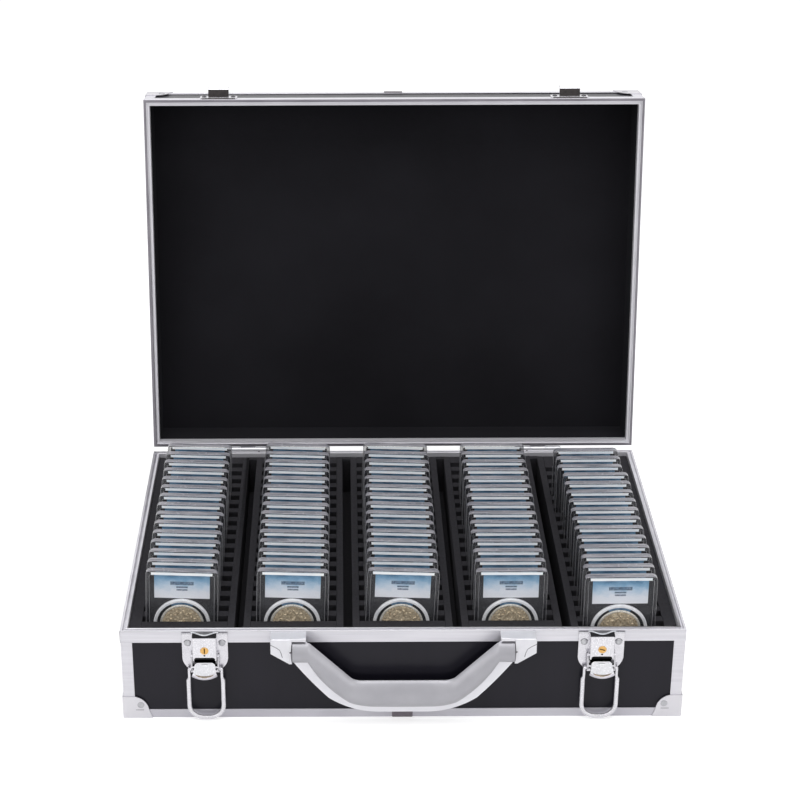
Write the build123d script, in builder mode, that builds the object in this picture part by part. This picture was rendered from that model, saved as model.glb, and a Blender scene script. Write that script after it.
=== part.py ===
"""Aluminium-framed display case for slabbed coins: base tray, hinged lid, latches, handle and 75 coin holders."""

import os
from math import cos, hypot, radians, sin, sqrt, tan

from build123d import *

os.makedirs("parts", exist_ok=True)

# Driving dimensions, in millimetres. X runs along the front, Y to the back, Z up.
# The origin is the centre of the closed case's footprint, on the surface that it rests on.
CASE_W = 485.0
CASE_D = 352.0
BASE_H = 87.0
LID_H = 49.5
RIM_GAP = 0.3
LID_OPEN = 98.0

FRAME_T = 1.0
BOARD_T = 4.0
FLOOR_T = 3.2
TOP_T = 3.2
LINING_T = 1.0

RIM_FLANGE_H = 11.0
RIM_WEB_T = 2.5
RIM_LIP_H = 8.0
GROOVE_W = 1.8
GROOVE_DEPTH = 1.7
TONGUE_W = 1.0
TONGUE_H = 1.3
EDGING_H = 8.2
POST_W = 10.0
POST_R = 1.2

CAP_T = 1.0
CAP_W = 25.0
CAP_H = 21.5
CAP_TOP_W = 10.5
CAP_STEP_H = 8.4
CAP_STEP_IN = 3.0
CAP_EDGE_R = 1.6
CAP_ARC_IN = 5.9
CAP_ARC_Z = 16.0
CAP_FOOT_STEP = 9.0
CAP_RIVET_X = 15.0
CAP_RIVET_Z = 13.5
CAP_RIVET_R = 3.0
CAP_RIVET_H = 0.8
RIVET_DOME = 0.5

CLIP_W = 18.0
CLIP_H = 6.8
CLIP_T = 0.8
CLIP_LOW = 0.2
CLIP_R = 0.8

# Foam
FOAM_CLEAR = 0.3
FOAM_DROP = 4.0
PAD_TOP = 45.7
ROW_COUNT = 5
SIDE_RAIL_W = 10.6
INNER_RAIL_W = 6.25
SLOT_COUNT = 18
SLOT_THICK = 9.0
FRONT_BLOCK = 17.2
BACK_BLOCK = 14.0
LAST_ROW_FORWARD = 11.0
FRONT_RELIEF_W = 65.0
FRONT_RELIEF_D = 6.0
GROOVE_BETWEEN_W = 7.8
GROOVE_END_T = 5.0

# Coin holders
HOLDER_W = 62.4
HOLDER_H = 85.0
HOLDER_T = 8.0
HOLDER_R = 4.5
HOLDER_SEAT = 0.3
FILLED_SLOTS = 15
LOOSE_HOLDERS = 3
LOOSE_CLEAR = 1.0
ROW_SHIFTS = (-1.7, -0.5, 0.0, -0.7, -1.8)
WINDOW_BORDER = 3.0
WINDOW_DEPTH = 0.9
COIN_R = 19.05
COIN_T = 2.6
COIN_Z = 32.0
LABEL_W = 47.9
LABEL_H = 24.2
LABEL_T = 0.6
LABEL_Z = 69.2
INSERT_CLEAR = 0.3

# Hinges
HINGE_INSET = 95.5
HINGE_W = 46.0
HINGE_STANDOFF = 3.0
KNUCKLE_R = 2.6
KNUCKLE_GAP = 0.3
HINGE_PIN_R = 1.25
HINGE_PIN_CLEAR = 0.05
HINGE_PIN_HEAD_R = 2.0
HINGE_PIN_HEAD_T = 0.8
LEAF_T = 1.0
LEAF_H = 26.0
LEAF_RIVET_R = 2.2
LEAF_RIVET_H = 0.9
LEAF_R = 2.0
KNUCKLE_ROOT = 2.5
KNUCKLE_ROOT_IN = 0.9
KNUCKLE_TANGENT = 0.4
KNUCKLE_SKIN = 0.2

# Latches
LATCH_INSET = 72.5
PLATE_T = 1.2
PLATE_W = 39.4
PLATE_TOP = 86.2
PLATE_STRAIGHT_Z = 63.0
PLATE_FOOT_W = 27.0
PLATE_FOOT_Z = 50.0
PLATE_ARC_IN = 1.36
PLATE_ARC_Z = 55.85
PLATE_FLANGE_H = 1.4
PLATE_FLANGE_T = 0.8
PLATE_RIVET_X = 14.8
PLATE_RIVET_Z = 76.0
PLATE_RIVET_R = 2.9
PLATE_RIVET_H = 1.0
HOUSING_W = 20.6
HOUSING_DEPTH = 8.0
HOUSING_TOP = 85.4
HOUSING_BOTTOM = 63.0
HOUSING_R = 1.0
HOUSING_WALL = 1.0
HOUSING_POCKET_DEPTH = 3.0
HOUSING_ARCH_W = 18.0
HOUSING_ARCH_TOP = 66.2
HOUSING_ARCH_DEPTH = 2.2
HOUSING_ARCH_R = 2.2
CYLINDER_R = 3.5
CYLINDER_Z = 73.0
CYLINDER_LENGTH = 6.4
CYLINDER_PROUD = 0.3
CYLINDER_CLEAR = 0.05
CYLINDER_END_ROOM = 0.2
INDEX_HOLE_R = 0.8
INDEX_HOLE_DROP = 4.75
INDEX_HOLE_DEPTH = 1.2
KEY_SLOT_W = 0.9
KEY_SLOT_H = 5.0
KEY_SLOT_DEPTH = 3.0
RIGHT_LOCK_TURN = 75.0
LEVER_PIN_R = 1.0
LEVER_PIN_CLEAR = 0.05
LEVER_PIVOT_Z = 65.4
LEVER_PIVOT_OUT = 4.2
LEVER_PIN_PROUD = 0.2
CHEEK_T = 1.4
CHEEK_CLEAR = 0.5
CHEEK_BOSS_R = 2.9
CHEEK_NECK_W = 5.2
BARREL_R = 2.8
BARREL_IN = 1.8
TAB_TOP_Z = 60.4
TAB_TOP_OUT = 8.3
TAB_TILT = 43.0
TAB_LENGTH = 10.4
TAB_TOP_W = 17.4
TAB_MID_W = 18.4
TAB_LOW_W = 21.4
TAB_T = 1.2
TAB_LIP_DROP = 3.1
WEB_Z = 56.2
WEB_T = 1.6
WEB_SINK = 0.4
BAIL_PIVOT_Z = 52.0
BAIL_PIVOT_OUT = 3.5
BAIL_PIN_IN = 0.3
BAIL_PIN_R = 1.25
BAIL_PIN_CLEAR = 0.05
BAIL_NECK_X = 14.0
BAIL_LEG_X = 14.8
BAIL_WIRE_R = 1.95
BAIL_REACH = 48.6
BAIL_JOG_START = 8.0
BAIL_JOG_END = 10.5
BAIL_CORNER_R = 12.5
CATCH_W = 20.0
CATCH_T = 1.4
CATCH_SEAT_CLEAR = 0.2
CATCH_REACH = 7.5
CATCH_LIP_OUT = 3.2
CATCH_LIP_UP = 4.2
CATCH_PLATE_W = 36.0
CATCH_PLATE_H = 16.0
CATCH_PLATE_RISE = 1.6
CATCH_PLATE_R = 2.5
CATCH_BEND = 0.4
CATCH_LIP_TAPER = 0.84
CATCH_RIVET_X = 14.0
CATCH_RIVET_R = 2.4

# Handle
HANDLE_SPAN = 227.0
BRACKET_W = 18.4
BRACKET_TOP = 86.5
BRACKET_SHOULDER_Z = 72.3
BRACKET_TIP_Z = 62.0
BRACKET_TIP_W = 2.4
BRACKET_DEPTH = 14.0
BRACKET_R = 1.0
STOP_TAB_L = 12.0
STOP_TAB_ROOT = 2.0
STOP_TAB_T = 2.5
HANDLE_PIVOT_Z = 73.5
HANDLE_PIVOT_OUT = 11.0
HANDLE_PIN_R = 2.0
HANDLE_PIN_CLEAR = 0.05
HANDLE_PIN_IN_BRACKET = 8.0
HANDLE_PIN_IN_ARM = 9.0
HANDLE_PIN_END_ROOM = 0.3
HANDLE_SIDE_CLEAR = 0.4
ARM_END_R = 8.8
ARM_TOP_L = 14.0
ARM_BOTTOM_L = 13.0
ARM_HEIGHT_BELOW = 9.6
SHELL_FRONT_OUT = 19.0
SHELL_BACK_OUT = 11.4
SHELL_EDGE_R = 5.5
PLATE_BACK_OUT = 5.0
PLATE_INSET = 3.6
GRIP_INNER_IN = 53.2
GRIP_INNER_Z = 44.0
GRIP_INNER_R = 14.0
SHELL_LOW_Z = 20.0
SHELL_KNEE_IN = 48.7
SHELL_KNEE_Z = 23.0
SHELL_SIDE_ARC = (19.5, 17.0)
SHELL_FOOT_ARC = (9.0, 0.9)
SHELL_FOOT_RUN = 20.0
LIP_LOW_Z = 12.6
LIP_KNEE_IN = 30.7
LIP_KNEE_Z = 27.0
LIP_SIDE_ARC = (14.0, 15.5)
LIP_FOOT_ARC = (21.0, 3.6)
LIP_FOOT_RUN = 46.0

# Derived places
HALF_W = CASE_W / 2
HALF_D = CASE_D / 2
FRONT = -HALF_D
RIM_W = BOARD_T + 2 * FRAME_T
FOAM_TOP = BASE_H - FOAM_DROP
LID_LOW = BASE_H + RIM_GAP
LID_HIGH = LID_LOW + LID_H
HINGE_Y = HALF_D + HINGE_STANDOFF
HINGE_Z = BASE_H + RIM_GAP / 2
HINGE_LINE = Axis((0, HINGE_Y, HINGE_Z), (1, 0, 0))
GROOVE_IN = RIM_W / 2 - GROOVE_W / 2
GROOVE_OUT = RIM_W / 2 + GROOVE_W / 2
TONGUE_IN = RIM_W / 2 - TONGUE_W / 2
TONGUE_OUT = RIM_W / 2 + TONGUE_W / 2
HINGE_X = HALF_W - HINGE_INSET
LATCH_X = HALF_W - LATCH_INSET
SIDES = ("front", "back", "left", "right")


def save(name, solids, opened=False):
    """Write one node: its solids, swung open about the hinge if they belong to the lid."""
    if opened:
        solids = [solid.rotate(HINGE_LINE, -LID_OPEN) for solid in solids]
    if len(solids) == 1:
        node = solids[0]
        node.label = name
    else:
        node = Compound(label=name, children=solids)
    export_step(node, f"parts/{name}.step")


def mitred_plan(side, near, far):
    """Plan of one side of a rectangular frame, between two insets from the case's outer face."""
    if side in ("front", "back"):
        y_sign = -1 if side == "front" else 1
        return [
            (-(HALF_W - near), y_sign * (HALF_D - near)),
            (HALF_W - near, y_sign * (HALF_D - near)),
            (HALF_W - far, y_sign * (HALF_D - far)),
            (-(HALF_W - far), y_sign * (HALF_D - far)),
        ]
    x_sign = -1 if side == "left" else 1
    return [
        (x_sign * (HALF_W - near), -(HALF_D - near)),
        (x_sign * (HALF_W - near), HALF_D - near),
        (x_sign * (HALF_W - far), HALF_D - far),
        (x_sign * (HALF_W - far), -(HALF_D - far)),
    ]


def mitred_bar(side, near, far, low, high, mode=Mode.ADD):
    """One rectangle of a frame profile, run along a side with mitred ends."""
    with BuildSketch(Plane.XY.offset(low)) as plan:
        Polygon(*mitred_plan(side, near, far), align=None)
    extrude(plan.sketch, amount=high - low, mode=mode)


def frame_lengths(bars, cuts=(), corner_cut=None):
    """Four mitred lengths of one profile. corner_cut is a size, a low and a high cleared at the corners."""
    lengths = []
    for side in SIDES:
        with BuildPart() as length:
            for bar in bars:
                mitred_bar(side, *bar)
            for cut in cuts:
                mitred_bar(side, *cut, mode=Mode.SUBTRACT)
            if corner_cut:
                size, low, high = corner_cut
                with BuildSketch(Plane.XY.offset(low)):
                    with GridLocations(CASE_W, CASE_D, 2, 2):
                        Rectangle(2 * size, 2 * size)
                extrude(amount=high - low, mode=Mode.SUBTRACT)
        lengths.append(length.part)
    return lengths


def wall_boards(low, high):
    """Front and back boards run full width, and the side boards stand between them."""
    boards = []
    long_side = CASE_W - 2 * FRAME_T
    short_side = CASE_D - 2 * FRAME_T - 2 * BOARD_T
    board_y = HALF_D - FRAME_T - BOARD_T / 2
    board_x = HALF_W - FRAME_T - BOARD_T / 2
    plans = [
        (0, -board_y, long_side, BOARD_T),
        (0, board_y, long_side, BOARD_T),
        (-board_x, 0, BOARD_T, short_side),
        (board_x, 0, BOARD_T, short_side),
    ]
    for x, y, width, depth in plans:
        with BuildPart() as board:
            with BuildSketch(Plane.XY.offset(low)):
                with Locations((x, y)):
                    Rectangle(width, depth)
            extrude(amount=high - low)
        boards.append(board.part)
    return boards


def corner_posts(low, high):
    """Four L-section corner posts, with the outer edge rounded."""
    posts = []
    for x_sign in (-1, 1):
        for y_sign in (-1, 1):
            with BuildPart() as post:
                with BuildSketch(Plane.XY.offset(low)):
                    with Locations((x_sign * (HALF_W - POST_W / 2), y_sign * (HALF_D - POST_W / 2))):
                        Rectangle(POST_W, POST_W)
                extrude(amount=high - low)
                outer_edge = post.edges().filter_by(Axis.Z).sort_by(
                    lambda edge: x_sign * edge.center().X + y_sign * edge.center().Y
                )[-1]
                fillet(outer_edge, POST_R)
                inner_x = x_sign * (HALF_W - FRAME_T - POST_W / 2)
                inner_y = y_sign * (HALF_D - FRAME_T - POST_W / 2)
                with BuildSketch(Plane.XY.offset(low)):
                    with Locations((inner_x, inner_y)):
                        Rectangle(POST_W, POST_W)
                extrude(amount=high - low, mode=Mode.SUBTRACT)
            posts.append(post.part)
    return posts


def cap_outline():
    """Outline of one flange of a corner cap, from the corner's outer edge, in the flange's own plane."""
    with BuildLine() as outline:
        Polyline(
            (CAP_TOP_W, CAP_H),
            (-CAP_T, CAP_H),
            (-CAP_T, 0),
            (CAP_W, 0),
            (CAP_W - CAP_STEP_IN, CAP_STEP_H),
        )
        ThreePointArc(
            (CAP_W - CAP_STEP_IN, CAP_STEP_H),
            (CAP_W - CAP_ARC_IN, CAP_ARC_Z),
            (CAP_TOP_W, CAP_H),
        )
    return outline.line


def corner_caps():
    """Four pressed corner caps on the base: a flange on each outer face and one let into the underside."""
    with BuildPart() as cap:
        # Flanges on the front and on the left side, at the left-hand front corner
        with BuildSketch(Plane(origin=(-HALF_W, FRONT, 0), x_dir=(1, 0, 0), z_dir=(0, -1, 0))):
            add(cap_outline())
            make_face()
        extrude(amount=CAP_T)
        with BuildSketch(Plane(origin=(-HALF_W, FRONT, 0), x_dir=(0, 1, 0), z_dir=(1, 0, 0))):
            add(cap_outline())
            make_face()
        extrude(amount=-CAP_T)
        with BuildSketch(Plane.XY):
            with BuildLine():
                Polyline(
                    (-HALF_W - CAP_T, FRONT - CAP_T),
                    (-HALF_W - CAP_T, FRONT + CAP_W),
                    (-HALF_W + CAP_FOOT_STEP, FRONT + CAP_W),
                    (-HALF_W + CAP_W, FRONT + CAP_FOOT_STEP),
                    (-HALF_W + CAP_W, FRONT - CAP_T),
                    close=True,
                )
            make_face()
        extrude(amount=CAP_T)
        corner_edge = cap.edges().filter_by(Axis.Z).sort_by(
            lambda edge: edge.center().X + edge.center().Y
        )[0]
        fillet(corner_edge, CAP_EDGE_R)
    left = cap.part
    right = left.mirror(Plane.YZ)
    return [left, right, left.mirror(Plane.XZ), right.mirror(Plane.XZ)]


def rivet_heads(plane, points, radius, height):
    """Low domed rivet heads standing on a plane."""
    heads = []
    for x, y in points:
        with BuildPart() as head:
            with BuildSketch(plane):
                with Locations((x, y)):
                    Circle(radius)
            extrude(amount=height)
            fillet(head.faces().sort_by(Axis(plane.origin, plane.z_dir))[-1].edges(), height * RIVET_DOME)
        heads.append(head.part)
    return heads


def cap_rivets():
    """One rivet head on each outer flange of every corner cap."""
    points = [(-(HALF_W - CAP_RIVET_X), CAP_RIVET_Z), (HALF_W - CAP_RIVET_X, CAP_RIVET_Z)]
    front_plane = Plane(origin=(0, FRONT - CAP_T, 0), x_dir=(1, 0, 0), z_dir=(0, -1, 0))
    front = rivet_heads(front_plane, points, CAP_RIVET_R, CAP_RIVET_H)
    side_points = [(-(HALF_D - CAP_RIVET_X), CAP_RIVET_Z), (HALF_D - CAP_RIVET_X, CAP_RIVET_Z)]
    side_plane = Plane(origin=(HALF_W + CAP_T, 0, 0), x_dir=(0, 1, 0), z_dir=(1, 0, 0))
    side = rivet_heads(side_plane, side_points, CAP_RIVET_R, CAP_RIVET_H)
    back = [head.mirror(Plane.XZ) for head in front]
    other_side = [head.mirror(Plane.YZ) for head in side]
    return front + back + side + other_side


def to_lid(solids):
    """A piece of the base's underside, turned over onto the closed lid's top."""
    middle = Plane.XY.offset(LID_HIGH / 2)
    return [solid.mirror(middle) for solid in solids]


def edge_clip():
    """Small spring clip that closes the joint in the front edging."""
    with BuildPart() as clip:
        with BuildSketch(Plane.XZ.offset(HALF_D)):
            with Locations((0, CLIP_LOW + CLIP_H / 2)):
                RectangleRounded(CLIP_W, CLIP_H, CLIP_R)
        extrude(amount=CLIP_T)
    return clip.part


# ---------------------------------------------------------------- base shell
save("base_wall_panels", wall_boards(FLOOR_T, BASE_H - RIM_WEB_T))

with BuildPart() as base_floor_panel:
    with BuildSketch(Plane.XY.offset(FRAME_T)):
        Rectangle(CASE_W - 2 * FRAME_T, CASE_D - 2 * FRAME_T)
    extrude(amount=FLOOR_T - FRAME_T)
    with BuildSketch(Plane.XY):
        Rectangle(CASE_W - 2 * EDGING_H, CASE_D - 2 * EDGING_H)
        with GridLocations(CASE_W, CASE_D, 2, 2):
            Rectangle(2 * CAP_W, 2 * CAP_W, mode=Mode.SUBTRACT)
    extrude(amount=FRAME_T)
save("base_floor_panel", [base_floor_panel.part])

base_rim = frame_lengths(
    bars=[
        (0, FRAME_T, BASE_H - RIM_FLANGE_H, BASE_H),
        (0, RIM_W, BASE_H - RIM_WEB_T, BASE_H),
        (RIM_W - FRAME_T, RIM_W, BASE_H - RIM_LIP_H, BASE_H),
    ],
    cuts=[(GROOVE_IN, GROOVE_OUT, BASE_H - GROOVE_DEPTH, BASE_H)],
)
save("base_rim", base_rim)

base_bottom_edging = frame_lengths(
    bars=[(0, FRAME_T, 0, EDGING_H), (0, EDGING_H, 0, FRAME_T)],
    corner_cut=(CAP_W, 0, CAP_T),
)
save("base_bottom_edging", base_bottom_edging)
save("base_corner_posts", corner_posts(EDGING_H, BASE_H - RIM_FLANGE_H))
save("base_corner_caps", corner_caps())
save("base_cap_rivets", cap_rivets())
save("base_edge_clip", [edge_clip()])

# ---------------------------------------------------------------- lid shell, modelled closed
save("lid_wall_panels", wall_boards(LID_LOW + RIM_WEB_T, LID_HIGH - TOP_T), opened=True)

with BuildPart() as lid_top_panel:
    with BuildSketch(Plane.XY.offset(LID_HIGH - TOP_T)):
        Rectangle(CASE_W - 2 * FRAME_T, CASE_D - 2 * FRAME_T)
    extrude(amount=TOP_T - FRAME_T)
    with BuildSketch(Plane.XY.offset(LID_HIGH - FRAME_T)):
        Rectangle(CASE_W - 2 * EDGING_H, CASE_D - 2 * EDGING_H)
        with GridLocations(CASE_W, CASE_D, 2, 2):
            Rectangle(2 * CAP_W, 2 * CAP_W, mode=Mode.SUBTRACT)
    extrude(amount=FRAME_T)
save("lid_top_panel", [lid_top_panel.part], opened=True)

lid_rim = frame_lengths(
    bars=[
        (0, FRAME_T, LID_LOW, LID_LOW + RIM_FLANGE_H),
        (0, RIM_W, LID_LOW, LID_LOW + RIM_WEB_T),
        (RIM_W - FRAME_T, RIM_W, LID_LOW, LID_LOW + RIM_LIP_H),
        (TONGUE_IN, TONGUE_OUT, LID_LOW - TONGUE_H, LID_LOW),
    ],
)
save("lid_rim", lid_rim, opened=True)
save("lid_top_edging", to_lid(base_bottom_edging), opened=True)
save("lid_corner_posts", corner_posts(LID_LOW + RIM_FLANGE_H, LID_HIGH - EDGING_H), opened=True)
save("lid_corner_caps", to_lid(corner_caps()), opened=True)
save("lid_cap_rivets", to_lid(cap_rivets()), opened=True)
save("lid_edge_clip", to_lid([edge_clip()]), opened=True)

with BuildPart() as lid_lining:
    lining_inset = FRAME_T + BOARD_T
    with BuildSketch(Plane.XY.offset(LID_LOW + RIM_LIP_H)):
        Rectangle(CASE_W - 2 * lining_inset, CASE_D - 2 * lining_inset)
    extrude(amount=LID_H - RIM_LIP_H - TOP_T)
    with BuildSketch(Plane.XY.offset(LID_LOW + RIM_LIP_H)):
        Rectangle(CASE_W - 2 * (lining_inset + LINING_T), CASE_D - 2 * (lining_inset + LINING_T))
    extrude(amount=LID_H - RIM_LIP_H - TOP_T - LINING_T, mode=Mode.SUBTRACT)
save("lid_lining", [lid_lining.part], opened=True)

# ---------------------------------------------------------------- hinges
KNUCKLE_L = (HINGE_W - 2 * KNUCKLE_GAP) / 3


def knuckle_spans():
    """Start and end of the three knuckles, from the hinge's middle."""
    step = KNUCKLE_L + KNUCKLE_GAP
    return [(-HINGE_W / 2 + index * step, -HINGE_W / 2 + index * step + KNUCKLE_L) for index in range(3)]


def hinge_leaf(centre_x, spans, up):
    """A flat leaf on the case's back with its knuckles. up is 1 for the lid's leaf and -1 for the base's."""
    leaf_edge = HINGE_Z + up * (KNUCKLE_R + KNUCKLE_GAP)
    leaf_far = HINGE_Z + up * LEAF_H
    back_plane = Plane(origin=(0, HALF_D, 0), x_dir=(-1, 0, 0), z_dir=(0, 1, 0))
    with BuildPart() as leaf:
        with BuildSketch(back_plane):
            with Locations((-centre_x, (leaf_edge + leaf_far) / 2)):
                RectangleRounded(HINGE_W, abs(leaf_far - leaf_edge), LEAF_R)
        extrude(amount=LEAF_T)
        for start, end in spans:
            with BuildSketch(Plane.YZ.offset(centre_x + start)):
                with Locations((HINGE_Y, HINGE_Z)):
                    Circle(KNUCKLE_R)
                with BuildLine():
                    Polyline(
                        (HALF_D, leaf_edge + up * KNUCKLE_ROOT),
                        (HALF_D + LEAF_T, leaf_edge + up * KNUCKLE_ROOT),
                        (HINGE_Y - KNUCKLE_TANGENT, HINGE_Z + up * (KNUCKLE_R - KNUCKLE_SKIN)),
                        (HINGE_Y - KNUCKLE_R + KNUCKLE_SKIN / 2, HINGE_Z + up * KNUCKLE_TANGENT),
                        (HALF_D, leaf_edge - up * KNUCKLE_ROOT_IN),
                        close=True,
                    )
                make_face()
            extrude(amount=end - start)
        with BuildSketch(Plane.YZ.offset(centre_x - HINGE_W)):
            with Locations((HINGE_Y, HINGE_Z)):
                Circle(HINGE_PIN_R + HINGE_PIN_CLEAR)
        extrude(amount=2 * HINGE_W, mode=Mode.SUBTRACT)
    return leaf.part


def hinge_pin(centre_x):
    """Headed pin through the three knuckles."""
    with BuildPart() as pin:
        with BuildSketch(Plane.YZ.offset(centre_x - HINGE_W / 2 - HINGE_PIN_HEAD_T)):
            with Locations((HINGE_Y, HINGE_Z)):
                Circle(HINGE_PIN_HEAD_R)
        extrude(amount=HINGE_PIN_HEAD_T)
        with BuildSketch(Plane.YZ.offset(centre_x - HINGE_W / 2)):
            with Locations((HINGE_Y, HINGE_Z)):
                Circle(HINGE_PIN_R)
        extrude(amount=HINGE_W + HINGE_PIN_HEAD_T)
    return pin.part


hinge_centres = (-HINGE_X, HINGE_X)
spans = knuckle_spans()
save("hinge_base_leaves", [hinge_leaf(x, [spans[0], spans[2]], -1) for x in hinge_centres])
save("hinge_lid_leaves", [hinge_leaf(x, [spans[1]], 1) for x in hinge_centres], opened=True)
save("hinge_pins", [hinge_pin(x) for x in hinge_centres])

leaf_rivet_plane = Plane(origin=(0, HALF_D + LEAF_T, 0), x_dir=(-1, 0, 0), z_dir=(0, 1, 0))
leaf_rivet_drop = KNUCKLE_R + (LEAF_H - KNUCKLE_R) / 2
leaf_rivet_xs = [side * HINGE_X + offset for side in (-1, 1) for offset in (-HINGE_W / 3, 0, HINGE_W / 3)]
for node, up, opened in (("hinge_base_rivets", -1, False), ("hinge_lid_rivets", 1, True)):
    rivet_points = [(x, HINGE_Z + up * leaf_rivet_drop) for x in leaf_rivet_xs]
    heads = rivet_heads(leaf_rivet_plane, rivet_points, LEAF_RIVET_R, LEAF_RIVET_H)
    save(node, heads, opened=opened)

# ---------------------------------------------------------------- latches
PLATE_FACE = FRONT - PLATE_T
HOUSING_FACE = PLATE_FACE - HOUSING_DEPTH
LEVER_PIVOT_Y = PLATE_FACE - LEVER_PIVOT_OUT
BAIL_PIVOT_Y = PLATE_FACE - BAIL_PIVOT_OUT
CHEEK_INNER_X = HOUSING_W / 2 + CHEEK_CLEAR
CHEEK_OUTER_X = CHEEK_INNER_X + CHEEK_T
TAB_TOP_Y = PLATE_FACE - TAB_TOP_OUT


def latch_plate(centre_x):
    """Riveted plate with a folded top flange and a narrowed foot."""
    with BuildPart() as plate:
        with BuildSketch(Plane.XZ.offset(HALF_D)):
            with BuildLine():
                half, foot = PLATE_W / 2, PLATE_FOOT_W / 2
                Polyline(
                    (centre_x - half, PLATE_STRAIGHT_Z),
                    (centre_x - half, PLATE_TOP),
                    (centre_x + half, PLATE_TOP),
                    (centre_x + half, PLATE_STRAIGHT_Z),
                )
                for side in (-1, 1):
                    ThreePointArc(
                        (centre_x + side * half, PLATE_STRAIGHT_Z),
                        (centre_x + side * (half - PLATE_ARC_IN), PLATE_ARC_Z),
                        (centre_x + side * foot, PLATE_FOOT_Z),
                    )
                Line((centre_x - foot, PLATE_FOOT_Z), (centre_x + foot, PLATE_FOOT_Z))
            make_face()
        extrude(amount=PLATE_T)
        with BuildSketch(Plane.XZ.offset(-PLATE_FACE)):
            with Locations((centre_x, PLATE_TOP - PLATE_FLANGE_T / 2)):
                Rectangle(PLATE_W, PLATE_FLANGE_T)
        extrude(amount=PLATE_FLANGE_H)
    return plate.part


def lock_housing(centre_x):
    """Pressed box that holds the lock cylinder and the lever's pin, open at its top."""
    with BuildPart() as housing:
        with BuildSketch(Plane.XY.offset(HOUSING_BOTTOM)):
            with Locations((centre_x, PLATE_FACE - HOUSING_DEPTH / 2)):
                Rectangle(HOUSING_W, HOUSING_DEPTH)
        extrude(amount=HOUSING_TOP - HOUSING_BOTTOM)
        front_edges = housing.faces().sort_by(Axis.Y)[0].edges()
        fillet(front_edges.filter_by(Axis.Z), HOUSING_R)
        with BuildSketch(Plane.XY.offset(HOUSING_TOP - HOUSING_POCKET_DEPTH)):
            with Locations((centre_x, PLATE_FACE - HOUSING_DEPTH / 2)):
                Rectangle(HOUSING_W - 2 * HOUSING_WALL, HOUSING_DEPTH - 2 * HOUSING_WALL)
        extrude(amount=HOUSING_POCKET_DEPTH, mode=Mode.SUBTRACT)
        with BuildSketch(Plane.XZ.offset(-HOUSING_FACE)):
            with Locations((centre_x, CYLINDER_Z)):
                Circle(CYLINDER_R + CYLINDER_CLEAR)
        extrude(amount=-(CYLINDER_LENGTH - CYLINDER_PROUD + CYLINDER_END_ROOM), mode=Mode.SUBTRACT)
        with BuildSketch(Plane.XZ.offset(-HOUSING_FACE)):
            with Locations((centre_x, CYLINDER_Z - INDEX_HOLE_DROP)):
                Circle(INDEX_HOLE_R)
        extrude(amount=-INDEX_HOLE_DEPTH, mode=Mode.SUBTRACT)
        # Arch over the lever, with its lower corners run out below the housing
        arch_height = 2 * (HOUSING_ARCH_TOP - HOUSING_BOTTOM)
        with BuildSketch(Plane.XZ.offset(-HOUSING_FACE)):
            with Locations((centre_x, HOUSING_BOTTOM)):
                RectangleRounded(HOUSING_ARCH_W, arch_height, HOUSING_ARCH_R)
        extrude(amount=-HOUSING_ARCH_DEPTH, mode=Mode.SUBTRACT)
        with BuildSketch(Plane.YZ.offset(centre_x - HOUSING_W)):
            with Locations((LEVER_PIVOT_Y, LEVER_PIVOT_Z)):
                Circle(LEVER_PIN_R)
        extrude(amount=2 * HOUSING_W, mode=Mode.SUBTRACT)
    return housing.part


def lock_cylinder(centre_x, turn):
    """Brass lock plug with a keyway, turned about its own axis."""
    with BuildPart() as cylinder:
        with BuildSketch(Plane.XZ.offset(-(HOUSING_FACE - CYLINDER_PROUD))):
            with Locations((centre_x, CYLINDER_Z)):
                Circle(CYLINDER_R)
        extrude(amount=-CYLINDER_LENGTH)
        with BuildSketch(Plane.XZ.offset(-(HOUSING_FACE - CYLINDER_PROUD))):
            with Locations((centre_x, CYLINDER_Z)):
                Rectangle(KEY_SLOT_W, KEY_SLOT_H, rotation=turn)
        extrude(amount=-KEY_SLOT_DEPTH, mode=Mode.SUBTRACT)
    return cylinder.part


def lever_pin(centre_x):
    """Pin through the housing and both cheeks of the lever."""
    with BuildPart() as pin:
        with BuildSketch(Plane.YZ.offset(centre_x - CHEEK_OUTER_X - LEVER_PIN_PROUD)):
            with Locations((LEVER_PIVOT_Y, LEVER_PIVOT_Z)):
                Circle(LEVER_PIN_R)
        extrude(amount=2 * (CHEEK_OUTER_X + LEVER_PIN_PROUD))
    return pin.part


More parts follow.
